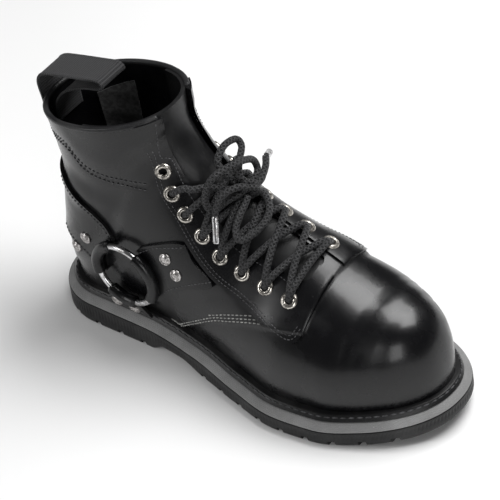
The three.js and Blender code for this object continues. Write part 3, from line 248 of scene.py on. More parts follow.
def along_line(points, step, closed=False):
    """Even points on a Catmull-Rom curve through a few points, step apart."""
    p = np.asarray(points, float)
    q = np.vstack([p[-1:], p, p[:2]]) if closed else np.vstack([2 * p[0] - p[1], p, 2 * p[-1] - p[-2]])
    count = len(q) - 3
    t = np.linspace(0, count, count * 40 + 1)
    i = np.minimum(t.astype(int), count - 1)
    f = (t - i)[:, None]
    a, b, c, d = q[i], q[i + 1], q[i + 2], q[i + 3]
    dense = 0.5 * (2 * b + (c - a) * f + (2 * a - 5 * b + 4 * c - d) * f**2 + (3 * b - a - 3 * c + d) * f**3)
    s = np.concatenate([[0], np.cumsum(np.linalg.norm(np.diff(dense, axis=0), axis=1))])
    n = max(int(round(s[-1] / step)), 2)
    want = np.linspace(0, s[-1], n + 1)
    if closed:
        want = want[:-1]
    return np.stack([np.interp(want, s, dense[:, k]) for k in range(dense.shape[1])], -1)

# %% [markdown]
# ## Creases
# Leather folds softly where the foot bends, so each crease is a trough or ridge placed one by one in
# the side view: where its middle is, which way it runs, its half length, its width and its depth.

# %% Crease table and relief
CREASES = [  # side, x, z, direction in degrees, half length, width, depth (minus is a trough)
    (-1, 8, 112, -8, 26, 8.5, 1.4), (-1, 6, 125, -12, 24, 5.0, -0.6),
    (-1, 34, 112, 62, 18, 5.0, -0.8), (-1, 44, 118, 70, 22, 6.0, 0.7), (-1, -10, 104, -20, 14, 4.0, -0.6),
    (-1, 94, 62, 38, 20, 5.0, -0.7), (-1, 88, 56, 40, 22, 6.0, 0.6), (-1, 118, 48, 24, 26, 8.0, 0.5),
    (-1, 66, 42, 80, 16, 6.0, -0.6), (-1, 104, 30, 12, 24, 5.0, -0.4), (-1, 72, 30, 84, 14, 5.0, 0.5),
    (1, 8, 118, -8, 26, 8.0, 1.1), (1, 2, 128, -10, 24, 4.5, -0.9), (1, 66, 96, 60, 22, 6.0, -0.8),
    (1, 76, 90, 58, 24, 6.0, 0.7), (1, 92, 62, 38, 24, 6.0, -0.7), (1, 120, 52, 24, 28, 8.0, 0.5),
    (1, 60, 48, 84, 18, 6.0, -0.5),
]

def relief(p):
    """Sum of the creases at points of the face: a bell across each line and a flat-topped bell along it."""
    total = np.zeros(p.shape[:-1])
    for side, x, z, direction, reach, width, depth in CREASES:
        c, s = math.cos(math.radians(direction)), math.sin(math.radians(direction))
        dx, dz = p[..., 0] - x, p[..., 2] - z
        along, across = dx * c + dz * s, -dx * s + dz * c
        across = across + 0.012 * along**2 / max(width, 1)
        weight = np.clip(side * p[..., 1] / 12, 0, 1)
        total += depth * weight * np.exp(-((across / width) ** 2)) * np.exp(-((along / reach) ** 4))
    return total

SEAM = [(60, 12), (84, 34), (104.6, 50.0), (119.3, 57.2), (132.8, 62.5), (145.8, 66.6), (158.2, 69.4),
        (174.5, 71.3)]
SEAM_MEDIAL = [(60, 16), (84, 42), (104, 58), (120, 66), (134, 71.5), (147, 75.5), (160, 78.5), (174.5, 80.0)]
QUARTER_THICK = 1.1

def quarter_step(p):
    """The quarter lies over the vamp: a smooth step across the seam line seen from the side."""
    total = np.zeros(p.shape[:-1])
    for side, line in ((-1, SEAM), (1, SEAM_MEDIAL)):
        c = along_line(line, 2.0)
        height = np.interp(p[..., 0], c[:, 0], c[:, 1], left=-50)
        behind = np.clip((p[..., 2] - height) / 1.6 + 0.5, 0, 1) * np.clip((176 - p[..., 0]) / 1.6, 0, 1)
        weight = np.clip(side * p[..., 1] / 3 + 0.5, 0, 1)
        total += weight * behind * behind * (3 - 2 * behind)
    return QUARTER_THICK * (total - 1)

CUFF = [(-26, 146), (0, 150.5), (12, 141), (19.4, 137), (39, 132.9), (56, 131)]
CUFF_MEDIAL = [(-26, 148), (0, 144), (20, 138), (39, 133), (56, 131)]

def cuff_step(p):
    """A shallow groove where the padded collar band is sewn on."""
    total = np.zeros(p.shape[:-1])
    for side, line in ((-1, CUFF), (1, CUFF_MEDIAL)):
        c = along_line(line, 2.0)
        height = np.interp(p[..., 0], c[:, 0], c[:, 1])
        weight = np.clip(side * p[..., 1] / 3 + 0.5, 0, 1) * np.clip((57 - p[..., 0]) / 4, 0, 1)
        above = p[..., 2] - height
        total += weight * (-0.55 * np.exp(-((above / 1.7) ** 2)) + 0.5 * np.exp(-(((above - 12) / 9) ** 2)))
    return total

def leather_point(at, u, distance):
    """Outer face pushed out by a distance, with the creases, the quarter's step and the collar band.

    Near the toe's join each point is averaged with its neighbours along the foot, to ease the join."""
    at = np.asarray(at, float)
    near = np.exp(-(((at - 1) / 0.38) ** 2))
    p = (face_point(at - 0.17 * near, u) + 2 * face_point(at, u) + face_point(at + 0.45 * near, u)) / 4
    push = distance + relief(p) + quarter_step(p) * np.clip(at - 0.9, 0, 1) + cuff_step(p)
    return p + face_normal(at, u) * np.asarray(push)[..., None]

# %% [markdown]
# ## From grids to meshes
# A solid wall is two grids, one for each face, joined around the rim. Points that fall together at
# the heel seam and the toe are merged, and pairs of faces that meet there cancel out.

# %% Mesh helpers
OUTER_RUNS = ((0, 1, 22), (1, HEEL_AT, 126), (HEEL_AT, COLLAR_AT, 52))
ROWS = np.concatenate([[0.0]] + [lo + (hi - lo) * np.arange(1, n + 1) / n for lo, hi, n in OUTER_RUNS])
COLUMNS = np.linspace(-1, 1, 165)

def face_grid(distance, rows, columns, point=leather_point):
    """Grid of face points, its foot edge kept on the feather line."""
    at, u = np.meshgrid(rows, columns, indexing="ij")
    p = point(at, u, distance)
    floor = feather_height(p[..., 0])
    edge = (np.abs(u) == 1) & (at <= HEEL_AT)
    p[..., 2] = np.where(edge, floor, np.maximum(p[..., 2], floor + np.abs(at - HEEL_AT) * 0.01))
    return p

def quads(rows, cols, flip=False, wrap_rows=False, wrap_cols=False, start=0):
    """Corner numbers of the squares of a grid."""
    r, c = np.meshgrid(np.arange(rows if wrap_rows else rows - 1), np.arange(cols if wrap_cols else cols - 1),
                       indexing="ij")
    r1, c1 = (r + 1) % rows, (c + 1) % cols
    q = np.stack([r * cols + c, r * cols + c1, r1 * cols + c1, r1 * cols + c], -1).reshape(-1, 4) + start
    return q[:, ::-1] if flip else q

def wall(outer, inner):
    """Points and triangles of the solid between two grids."""
    rows, cols = outer.shape[:2]
    n = rows * cols
    points = np.vstack([outer.reshape(-1, 3), inner.reshape(-1, 3)])
    ring = np.concatenate([np.arange(cols), cols * np.arange(1, rows) + cols - 1,
                           (rows - 1) * cols + np.arange(cols - 2, -1, -1),
                           cols * np.arange(rows - 2, 0, -1)])
    after = np.roll(ring, -1)
    rim = np.stack([after, ring, ring + n, after + n], -1)
    faces = np.vstack([quads(rows, cols), quads(rows, cols, True, start=n), rim])
    return weld(points, faces)

def weld(points, faces):
    """Merges equal points, drops flat triangles and cancels pairs that lie on each other."""
    tris = np.vstack([faces[:, [0, 1, 2]], faces[:, [0, 2, 3]]])
    keys = np.round(points * 500).astype(np.int64)
    _, first, back = np.unique(keys, axis=0, return_index=True, return_inverse=True)
    tris = back.reshape(-1)[tris]
    keep = (tris[:, 0] != tris[:, 1]) & (tris[:, 1] != tris[:, 2]) & (tris[:, 2] != tris[:, 0])
    tris = tris[keep]
    _, which, count = np.unique(np.sort(tris, 1), axis=0, return_inverse=True, return_counts=True)
    tris = tris[count[which.reshape(-1)] == 1]
    return points[first], tris

def piece(name, points, faces, sharp=38):
    """New object from points in millimetres, smooth apart from edges over a few dozen degrees."""
    mesh = bpy.data.meshes.new(name)
    mesh.from_pydata((np.asarray(points) * MM).tolist(), [], [list(map(int, f)) for f in faces])
    mesh.validate()
    mesh.shade_smooth()
    mesh.set_sharp_from_angle(angle=math.radians(sharp))
    made = bpy.data.objects.new(name, mesh)
    bpy.context.scene.collection.objects.link(made)
    return made

def dress(made, material, body="boot", replaces=()):
    """Gives a piece its material, its body and the nodes that it stands for."""
    made.data.materials.clear()
    made.data.materials.append(material)
    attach(made, body)
    if replaces:
        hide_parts(*replaces)
    print(made.name, len(made.data.polygons), "faces")
    return made

def prism(outline, axis, low, high):
    """Straight solid over a flat outline; axis 1 is a side view in x and z, axis 2 a plan in x and y."""
    o = np.asarray(outline, float)
    def level(v):
        """The outline at one place along the axis."""
        return np.insert(o, axis, v, axis=1)
    n = len(o)
    k = np.arange(n)
    sides = np.stack([k, (k + 1) % n, (k + 1) % n + n, k + n], -1).tolist()
    faces = [k[::-1].tolist(), (k + n).tolist()] + sides
    made = piece("tool", np.vstack([level(low), level(high)]), faces)
    area = np.sum(o[:, 0] * np.roll(o[:, 1], -1) - np.roll(o[:, 0], -1) * o[:, 1])
    if (area < 0) != (axis == 1):
        made.data.flip_normals()
    return made

def bake(made):
    """Replaces a piece's mesh by the one that its modifiers give, and returns it."""
    bpy.context.view_layer.update()
    mesh = bpy.data.meshes.new_from_object(made.evaluated_get(bpy.context.evaluated_depsgraph_get()))
    made.modifiers.clear()
    made.data = mesh
    return mesh

def carve(made, tools, how="DIFFERENCE"):
    """Applies boolean steps to a piece and throws the tools away."""
    for tool in tools:
        step = made.modifiers.new("step", "BOOLEAN")
        step.object, step.operation, step.solver = tool, how, "MANIFOLD"
    mesh = bake(made)
    mesh.shade_smooth()
    mesh.set_sharp_from_angle(angle=math.radians(38))
    for tool in tools:
        bpy.data.objects.remove(tool)
    return made

def on_boot(rows):
    """Side view places from shares of the upper's length and of the collar height."""
    r = np.asarray(rows, float)
    return np.stack([FEATHER_BACK + UPPER_LENGTH * r[:, 0], COLLAR_HEIGHT * r[:, 1]], -1)

# %% Round stock and turned pieces
def frames(path, closed=False):
    """Tangent and two normals along a path; each normal is the last one leaned back square to the way."""
    p = np.asarray(path, float)
    t = (np.roll(p, -1, 0) - np.roll(p, 1, 0)) if closed else np.gradient(p, axis=0)
    t /= np.maximum(np.linalg.norm(t, axis=1, keepdims=True), 1e-9)
    n = np.zeros_like(t)
    n[0] = np.cross(t[0], np.eye(3)[np.argmin(np.abs(t[0]))])
    for i in range(1, len(p)):
        n[i] = n[i - 1] / np.linalg.norm(n[i - 1]) - t[i] * np.dot(n[i - 1] / np.linalg.norm(n[i - 1]), t[i])
    n /= np.linalg.norm(n, axis=1, keepdims=True)
    return t, n, np.cross(t, n)

def tube(path, radius, sides=12, closed=False, flat=1.0):
    """Round section carried along a path; its open ends are closed by a small dome."""
    p = np.asarray(path, float)
    t, n, b = frames(p, closed)
    r = np.broadcast_to(np.asarray(radius, float), (len(p),)).copy()
    if not closed:
        p = np.vstack([p[:1] - t[:1] * r[0] * 0.35, p, p[-1:] + t[-1:] * r[-1] * 0.35])
        t, n, b = (np.vstack([v[:1], v, v[-1:]]) for v in (t, n, b))
        r = np.concatenate([[r[0] * 0.55], r, [r[-1] * 0.55]])
    a = 2 * np.pi * np.arange(sides) / sides
    ring = (p[:, None] + r[:, None, None] * (np.cos(a)[None, :, None] * n[:, None]
            + flat * np.sin(a)[None, :, None] * b[:, None]))
    faces = quads(len(p), sides, wrap_rows=closed, wrap_cols=True).tolist()
    if not closed:
        faces += [list(range(sides))[::-1], list(range((len(p) - 1) * sides, len(p) * sides))]
    return ring.reshape(-1, 3), faces, len(p)

def stretch_uv(made, rows, sides, length):
    """Map of a tube: the length in metres along it, and the share of a turn around it."""
    layer = made.data.uv_layers.new(name="along")
    loops = np.zeros(len(made.data.loops), int)
    made.data.loops.foreach_get("vertex_index", loops)
    row, col = loops // sides, loops % sides
    uv = np.stack([row / (rows - 1) * length * MM, col / sides], -1)
    starts = np.zeros(len(made.data.polygons), int)
    totals = np.zeros(len(made.data.polygons), int)
    made.data.polygons.foreach_get("loop_start", starts)
    made.data.polygons.foreach_get("loop_total", totals)
    owner = np.repeat(np.arange(len(starts)), totals)
    high = np.zeros(len(starts))
    np.maximum.at(high, owner, uv[:, 1])
    wraps = (high[owner] > 0.6) & (uv[:, 1] < 0.25) & (totals[owner] == 4)
    uv[:, 1] += wraps
    layer.data.foreach_set("uv", uv.ravel().astype(np.float32))

def turned(profile, sides=24):
    """Profile of radius and height turned about Z; it closes on itself or starts and ends on the axis."""
    q = np.asarray(profile, float)
    a = 2 * np.pi * np.arange(sides) / sides
    p = np.stack([q[:, :1] * np.cos(a), q[:, :1] * np.sin(a), np.repeat(q[:, 1:], sides, 1)], -1)
    ring = bool(q[0, 0] > 0)
    tris = quads(len(q), sides, wrap_rows=ring, wrap_cols=True)
    return weld(p.reshape(-1, 3), tris)

def stand(at, u, height=0.0):
    """Corner frame on the face: two directions in it, its normal, and the place. Y runs up the boot."""
    ats, us = np.array([at]), np.array([u])
    p, n = leather_point(ats, us, height)[0], face_normal(ats, us)[0]
    x = np.cross([0, 0, 1], n)
    x /= np.linalg.norm(x)
    return x, np.cross(n, x), n, p

def put(points, basis):
    """Points moved from a piece's own corner frame onto the boot."""
    x, y, n, p = basis
    return points[:, :1] * x + points[:, 1:2] * y + points[:, 2:] * n + p

def gather(parts):
    """Several lists of points and faces as one."""
    points, faces, start = [], [], 0
    for p, f in parts:
        points.append(np.asarray(p))
        faces += [[int(v) + start for v in face] for face in f]
        start += len(p)
    return np.vstack(points), faces

# %% Stitches
STITCH_FORM = np.array([[0.0, 0.12], [0.18, 0.75], [0.5, 1.0], [0.82, 0.75], [1.0, 0.12]])

def stitches(points, normals, pitch, long, radius, sink=0.25):
    """Small pods of thread, each a five ring spindle laid along the line between two holes."""
    s = np.concatenate([[0], np.cumsum(np.linalg.norm(np.diff(points, axis=0), axis=1))])
    count = max(int(s[-1] / pitch), 1)
    start = (np.arange(count) + 0.5) * s[-1] / count - long / 2
    def at(v, table):
        """Rows of a table read at lengths along the line."""
        return np.stack([np.interp(v, s, table[:, k]) for k in range(3)], -1)
    a, b, n = at(start, points), at(start + long, points), at(start + long / 2, normals)
    n /= np.linalg.norm(n, axis=1, keepdims=True)
    side = np.cross(n, b - a)
    side /= np.maximum(np.linalg.norm(side, axis=1, keepdims=True), 1e-9)
    w = 2 * np.pi * np.arange(5) / 5
    share, wide = STITCH_FORM[:, 0], STITCH_FORM[:, 1] * radius
    centre = a[:, None] + (b - a)[:, None] * share[None, :, None] + n[:, None] * (
        radius * (np.sin(np.pi * share) - sink))[None, :, None]
    p = (centre[:, :, None] + side[:, None, None] * (wide[:, None] * np.cos(w))[None, :, :, None]
         + n[:, None, None] * (wide[:, None] * np.sin(w))[None, :, :, None])
    base = np.vstack([quads(5, 5, wrap_cols=True)])
    faces = (base[None] + (np.arange(count) * 25)[:, None, None]).reshape(-1, 4).tolist()
    cap = np.arange(count)[:, None] * 25
    faces += (cap + np.arange(5)[::-1]).tolist() + (cap + 20 + np.arange(5)).tolist()
    return p.reshape(-1, 3), faces

def face_seam(line, side, lift, pitch, long, radius, inset=0.0):
    """Stitches on the face along a line of the side view, moved sideways by inset."""
    c = along_line(line, 1.5)
    t = np.gradient(c, axis=0)
    t /= np.linalg.norm(t, axis=1, keepdims=True)
    c = c + np.stack([-t[:, 1], t[:, 0]], -1) * inset
    at, u = place(c[:, 0], c[:, 1], side)
    return stitches(leather_point(at, u, lift), face_normal(at, u), pitch, long, radius)

def share_seam(ats, us, lift, pitch, long, radius):
    """Stitches along a line of stations and shares."""
    c = along_line(np.stack([ats, us], -1), 0.02)
    return stitches(leather_point(c[:, 0], c[:, 1], lift), face_normal(c[:, 0], c[:, 1]), pitch, long, radius)

# %% [markdown]
# ## Finishes
# Every finish is worked out from the place on the boot, so nothing is painted from a picture. The
# grain and the handling marks are shader groups that several finishes share, each with its own
# values. The groups give out heights and masks; each finish keeps its own shader.

# %% Shader groups
def group(name, inputs, outputs):
    """Empty shader group with named number sockets; its first input is the place."""
    made = bpy.data.node_groups.new(name, "ShaderNodeTree")
    made.interface.new_socket("Place", in_out="INPUT", socket_type="NodeSocketVector")
    for key, value in inputs.items():
        made.interface.new_socket(key, in_out="INPUT", socket_type="NodeSocketFloat").default_value = value
    for key in outputs:
        made.interface.new_socket(key, in_out="OUTPUT", socket_type="NodeSocketFloat")
    return made, made.nodes.new("NodeGroupInput"), made.nodes.new("NodeGroupOutput")

def math_node(tree, operation, a, b=None):
    """One arithmetic node; its inputs are numbers or other nodes' outputs."""
    node = tree.nodes.new("ShaderNodeMath")
    node.operation = operation
    for socket, value in zip(node.inputs, (a, b)):
        if value is None:
            continue
        if isinstance(value, (int, float)):
            socket.default_value = value
        else:
            tree.links.new(value, socket)
    return node.outputs[0]

def noise(tree, place_socket, scale, detail=3.0, rough=0.55):
    """Noise at a scale per metre."""
    node = tree.nodes.new("ShaderNodeTexNoise")
    tree.links.new(place_socket, node.inputs["Vector"])
    if isinstance(scale, (int, float)):
        node.inputs["Scale"].default_value = scale
    else:
        tree.links.new(scale, node.inputs["Scale"])
    node.inputs["Detail"].default_value = detail
    node.inputs["Roughness"].default_value = rough
    return node.outputs["Fac"]

def ramp(tree, value, low, high, bottom=0.0, top=1.0):
    """Value eased from one span to another, flat outside it."""
    node = tree.nodes.new("ShaderNodeMapRange")
    node.interpolation_type = "SMOOTHSTEP"
    tree.links.new(value, node.inputs["Value"])
    for key, v in (("From Min", low), ("From Max", high), ("To Min", bottom), ("To Max", top)):
        node.inputs[key].default_value = v
    return node.outputs[0]

def grain_group():
    """Leather grain: small cells with soft walls, broken up by noise, over a slow unevenness."""
    tree, take, give = group("leather_grain", {"Scale": 900.0, "Waviness": 0.5}, ["Height", "Slow"])
    cells = tree.nodes.new("ShaderNodeTexVoronoi")
    cells.feature = "DISTANCE_TO_EDGE"
    tree.links.new(take.outputs["Place"], cells.inputs["Vector"])
    tree.links.new(take.outputs["Scale"], cells.inputs["Scale"])
    fine = noise(tree, take.outputs["Place"], math_node(tree, "MULTIPLY", take.outputs["Scale"], 1.7), 2.0)
    slow = noise(tree, take.outputs["Place"], 55.0, 2.0)
    walls = ramp(tree, cells.outputs["Distance"], 0.0, 0.22)
    height = math_node(tree, "ADD", math_node(tree, "MULTIPLY", walls, 0.6),
                       math_node(tree, "MULTIPLY", fine, 0.5))
    wave = math_node(tree, "MULTIPLY", slow, take.outputs["Waviness"])
    tree.links.new(math_node(tree, "ADD", height, wave), give.inputs["Height"])
    tree.links.new(slow, give.inputs["Slow"])
    return tree

def marks_group():
    """Handling marks: dull smears, thin scratches and dust, each a mask from stretched noise."""
    tree, take, give = group("handling_marks", {"Amount": 1.0}, ["Smear", "Scratch", "Dust"])
    smear = ramp(tree, noise(tree, take.outputs["Place"], 28.0, 4.0, 0.6), 0.42, 0.72)
    turn = tree.nodes.new("ShaderNodeMapping")
    turn.inputs["Rotation"].default_value = (0.5, 0.9, 0.3)
    turn.inputs["Scale"].default_value = (30.0, 420.0, 420.0)
    tree.links.new(take.outputs["Place"], turn.inputs["Vector"])
    scratch = ramp(tree, noise(tree, turn.outputs[0], 1.0, 2.0), 0.68, 0.74)
    patch = ramp(tree, noise(tree, take.outputs["Place"], 40.0, 2.0), 0.5, 0.6)
    dust = ramp(tree, noise(tree, take.outputs["Place"], 1500.0, 1.0), 0.66, 0.76)
    scratch = math_node(tree, "MULTIPLY", scratch, patch)
    for key, value in (("Smear", smear), ("Scratch", scratch), ("Dust", dust)):
        tree.links.new(math_node(tree, "MULTIPLY", value, take.outputs["Amount"]), give.inputs[key])
    return tree

GRAIN, MARKS = grain_group(), marks_group()

# %% Finish helpers
def finish(name, colour, roughness, metallic=0.0, coat=0.0, coat_rough=0.1, sheen=0.0, specular=0.5):
    """New material with its shader, and the place read in the object's own coordinates."""
    made = bpy.data.materials.new(name)
    made.use_nodes = True
    tree = made.node_tree
    shader = tree.nodes["Principled BSDF"]
    shader.inputs["Base Color"].default_value = (*colour, 1)
    for key, value in (("Roughness", roughness), ("Metallic", metallic), ("Coat Weight", coat),
                       ("Coat Roughness", coat_rough), ("Sheen Weight", sheen),
                       ("Specular IOR Level", specular)):
        shader.inputs[key].default_value = value
    where = tree.nodes.new("ShaderNodeTexCoord").outputs["Object"]
    return made, tree, shader, where

def use(tree, nodes, where, **values):
    """Places a shader group in a material with its own values."""
    node = tree.nodes.new("ShaderNodeGroup")
    node.node_tree = nodes
    tree.links.new(where, node.inputs["Place"])
    for key, value in values.items():
        node.inputs[key].default_value = value
    return node

def mixed(tree, factor, low, high):
    """Colour between two, by a mask."""
    node = tree.nodes.new("ShaderNodeMix")
    node.data_type = "RGBA"
    node.inputs["A"].default_value, node.inputs["B"].default_value = (*low, 1), (*high, 1)
    tree.links.new(factor, node.inputs["Factor"])
    return node.outputs["Result"]

def bumped(tree, shader, height, strength, depth):
    """Feeds a height to the shader's normal."""
    node = tree.nodes.new("ShaderNodeBump")
    node.inputs["Strength"].default_value = strength
    node.inputs["Distance"].default_value = depth
    tree.links.new(height, node.inputs["Height"])
    tree.links.new(node.outputs["Normal"], shader.inputs["Normal"])

def leather(name, colour, pale, low, high, scale, depth, coat=0.35, amount=1.0):
    """Polished leather: grain and slow waviness in the bump, smears and scratches in colour and gloss."""
    made, tree, shader, where = finish(name, colour, 0.3, coat=coat, coat_rough=0.14, specular=0.30)
    grain = use(tree, GRAIN, where, Scale=scale, Waviness=1.6)
    marks = use(tree, MARKS, where, Amount=amount)
    wear = math_node(tree, "MAXIMUM", math_node(tree, "MULTIPLY", marks.outputs["Smear"], 0.35),
                     math_node(tree, "MAXIMUM", marks.outputs["Scratch"],
                               math_node(tree, "MULTIPLY", marks.outputs["Dust"], 0.5)))
    tree.links.new(mixed(tree, wear, colour, pale), shader.inputs["Base Color"])
    dull = math_node(tree, "ADD", math_node(tree, "MULTIPLY", marks.outputs["Smear"], 0.5),
                     math_node(tree, "MULTIPLY", grain.outputs["Slow"], 0.4))
    tree.links.new(ramp(tree, dull, 0.05, 0.8, low, high), shader.inputs["Roughness"])
    bumped(tree, shader, grain.outputs["Height"], 0.5, depth)
    return made

def metal(name, colour, dark, low, high, scale=260.0):
    """Worn metal: tarnish from noise, fine scratches and an uneven shine."""
    made, tree, shader, where = finish(name, colour, 0.3, metallic=1.0)
    marks = use(tree, MARKS, where, Amount=1.0)
    tarnish = ramp(tree, noise(tree, where, scale, 4.0), 0.4, 0.68)
    tree.links.new(mixed(tree, tarnish, colour, dark), shader.inputs["Base Color"])
    tree.links.new(ramp(tree, math_node(tree, "ADD", tarnish, marks.outputs["Smear"]), 0.0, 1.6, low, high),
                   shader.inputs["Roughness"])
    bumped(tree, shader, noise(tree, where, 1400.0, 3.0), 0.35, 0.0001)
    return made

def rubber(name, colour, pale, rough, hatch=0.0):
    """Moulded rubber: fine tooth, dust in patches, and a crosswise hatch where the band has one."""
    made, tree, shader, where = finish(name, colour, rough, specular=0.35)
    marks = use(tree, MARKS, where, Amount=1.0)
    tooth = noise(tree, where, 1300.0, 3.0)
    height = math_node(tree, "MULTIPLY", tooth, 0.6)
    if hatch:
        waves = []
        for turn in (0.7, -0.7):
            m = tree.nodes.new("ShaderNodeMapping")
            m.inputs["Rotation"].default_value = (0, 0, turn)
            m.inputs["Scale"].default_value = (hatch,) * 3
            tree.links.new(where, m.inputs["Vector"])
            parts = tree.nodes.new("ShaderNodeSeparateXYZ")
            tree.links.new(m.outputs[0], parts.inputs[0])
            waves.append(math_node(tree, "ABSOLUTE", math_node(tree, "SINE", parts.outputs[0])))
        height = math_node(tree, "ADD", height, math_node(tree, "MULTIPLY", waves[0], waves[1]))
    smear = math_node(tree, "MULTIPLY", marks.outputs["Smear"], 0.6)
    dust = math_node(tree, "MAXIMUM", smear, marks.outputs["Dust"])
    tree.links.new(mixed(tree, dust, colour, pale), shader.inputs["Base Color"])
    bumped(tree, shader, height, 0.6, 0.00025)
    return made

def thread(name, colour, pale, rough=0.65):
    """Waxed thread: colour uneven from stitch to stitch with a fine twist in the bump."""
    made, tree, shader, where = finish(name, colour, rough, sheen=0.2)
    tree.links.new(mixed(tree, ramp(tree, noise(tree, where, 420.0, 2.0), 0.35, 0.65), colour, pale),
                   shader.inputs["Base Color"])
    bumped(tree, shader, noise(tree, where, 2600.0, 2.0), 0.4, 0.00015)
    return made

def woven(name, colour, pale, along, around, depth, slant=0.0, rough=0.75):
    """Cord or tape: yarns that cross over and under, from two sets of waves in the piece's own map; the
    raised yarn crowns carry a painted highlight in the pale colour.
    """
    made, tree, shader, where = finish(name, colour, rough, sheen=0.06, specular=0.35)
    uv = tree.nodes.new("ShaderNodeUVMap")
    uv.uv_map = "along"
    parts = tree.nodes.new("ShaderNodeSeparateXYZ")
    tree.links.new(uv.outputs[0], parts.inputs[0])
    s = math_node(tree, "MULTIPLY", parts.outputs[0], along)
    r = math_node(tree, "MULTIPLY", parts.outputs[1], around)
    if slant:
        one = math_node(tree, "SINE", math_node(tree, "ADD", s, r))
        two = math_node(tree, "SINE", math_node(tree, "SUBTRACT", s, r))
    else:
        one, two = math_node(tree, "SINE", s), math_node(tree, "SINE", r)
    yarn = math_node(tree, "MAXIMUM", math_node(tree, "ABSOLUTE", one), math_node(tree, "ABSOLUTE", two))
    fuzz = noise(tree, where, 2200.0, 3.0)
    height = math_node(tree, "ADD", yarn, math_node(tree, "MULTIPLY", fuzz, 0.35))
    # Painted highlight: the raised yarn crowns are mixed towards the pale colour, as if lit.
    crown_highlight = math_node(tree, "MULTIPLY", ramp(tree, yarn, 0.72, 1.0), fuzz)
    tree.links.new(mixed(tree, crown_highlight, colour, pale), shader.inputs["Base Color"])
    bumped(tree, shader, height, 0.8, depth)
    return made

# %% Finishes of this boot
# Leathers: colour, worn colour, least and most roughness, grain per metre, grain depth, coat.
BLACK_LEATHER = leather("black_leather", (0.0030, 0.0030, 0.0036), (0.016, 0.016, 0.017), 0.24, 0.44,
                        1100.0, 0.00005, 0.22)
STRAP_LEATHER = leather("strap_leather", (0.0035, 0.0035, 0.004), (0.022, 0.022, 0.023), 0.22, 0.44,
                        900.0, 0.00008, 0.12)
INNER_LEATHER = leather("inner_leather", (0.006, 0.006, 0.0065), (0.02, 0.02, 0.02), 0.36, 0.58,
                        800.0, 0.0001, 0.05)
BINDING = leather("collar_binding", (0.012, 0.012, 0.013), (0.05, 0.05, 0.05), 0.35, 0.55,
                  900.0, 0.0002, 0.1)
TREAD_RUBBER = rubber("tread_rubber", (0.006, 0.006, 0.0065), (0.035, 0.035, 0.035), 0.5)
GREY_RUBBER = rubber("grey_rubber", (0.19, 0.19, 0.19), (0.30, 0.30, 0.30), 0.6, hatch=2600.0)
WELT_RUBBER = rubber("welt_rubber", (0.006, 0.006, 0.0065), (0.035, 0.035, 0.035), 0.4)
FOOTBED = thread("footbed_cloth", (0.014, 0.014, 0.015), (0.03, 0.03, 0.03), 0.9)
PATCH = thread("lining_patch", (0.05, 0.05, 0.05), (0.11, 0.11, 0.11), 0.5)
BLACK_THREAD = thread("black_thread", (0.014, 0.014, 0.016), (0.07, 0.07, 0.075))
PALE_THREAD = thread("pale_thread", (0.20, 0.20, 0.195), (0.42, 0.42, 0.40))
# Woven: colour, colour of the painted highlight on the yarn crowns, waves along and around in radians, depth.
LACE = woven("lace_cord", (0.0025, 0.0025, 0.003), (0.055, 0.055, 0.058), 1150.0, 12.566, 0.0014,
             slant=1.0, rough=0.5)
TAPE = woven("woven_tape", (0.007, 0.007, 0.0075), (0.07, 0.07, 0.074), 1750.0, 3300.0, 0.0008)
RIVET_STEEL = metal("rivet_steel", (0.56, 0.54, 0.53), (0.2, 0.19, 0.18), 0.28, 0.55, 500.0)
STEEL = metal("polished_steel", (0.72, 0.72, 0.73), (0.33, 0.32, 0.31), 0.16, 0.42)
NICKEL = metal("aged_nickel", (0.62, 0.59, 0.54), (0.13, 0.12, 0.11), 0.2, 0.5, 420.0)
ZIP_STEEL = metal("zip_steel", (0.55, 0.54, 0.52), (0.22, 0.21, 0.20), 0.22, 0.48)

# %% [markdown]
# ## The leather upper
# The vamp, quarters and collar are one shell here, with the quarter's edge as a step in it. The
# throat, the eyelet holes and the zip slot are cut through with straight solids, as a knife would.

# %% Upper
THROAT = [(0.10, -0.088, 0.20), (0.36, -0.095, 0.165), (0.47, -0.125, 0.110), (0.600, -0.135, 0.085),
          (0.680, -0.130, 0.078), (0.697, -0.112, 0.062), (0.702, -0.085, 0.035)]
ZIP_TOP, ZIP_BOTTOM, ZIP_LOW, ZIP_HIGH, ZIP_WIDTH = 0.215, 0.265, 0.23, 1.2, 7.0

def throat_tool():
    """Straight solid over the plan of the throat."""
    t = np.array(THROAT)
    x = FEATHER_BACK + UPPER_LENGTH * t[:, 0]
    o = np.vstack([np.stack([x, BALL_WIDTH * t[:, 1]], -1), np.stack([x, BALL_WIDTH * t[:, 2]], -1)[::-1]])
    return prism(o, 2, COLLAR_HEIGHT * 0.3, COLLAR_HEIGHT * 1.2)

def zip_x(up):
    """Middle of the zip along the boot, at a share of the collar height."""
    mix = (up - ZIP_LOW) / (ZIP_HIGH - ZIP_LOW)
    return FEATHER_BACK + UPPER_LENGTH * (ZIP_BOTTOM + (ZIP_TOP - ZIP_BOTTOM) * mix)

def zip_tool(trim, low, high):
    """Straight solid of the zip's slot between two shares of the collar height."""
    h = ZIP_WIDTH / 2 - trim
    foot, head = COLLAR_HEIGHT * low, COLLAR_HEIGHT * high
    corners = [(zip_x(low) - h, foot), (zip_x(low) + h, foot),
               (zip_x(high) + h, head), (zip_x(high) - h, head)]
    return prism(corners, 1, 8, BALL_WIDTH)

def hole_tool(radius=2.9):
    """All eyelet bores as one tool of short round bars."""
    bar, sides = [], 14
    for at, left, right in EYELETS:
        for u in (left, right):
            p, f = turned([(0, -7), (radius, -7), (radius, 7), (0, 7)], sides)
            bar.append((put(p, stand(at, u)), f))
    return piece("tool", *gather(bar))

upper = piece("upper_leather", *wall(face_grid(0, ROWS, COLUMNS), face_grid(-WALL, ROWS, COLUMNS)))
carve(upper, [throat_tool(), zip_tool(0, ZIP_LOW, ZIP_HIGH), hole_tool()])
dress(upper, BLACK_LEATHER, replaces=["upper"])

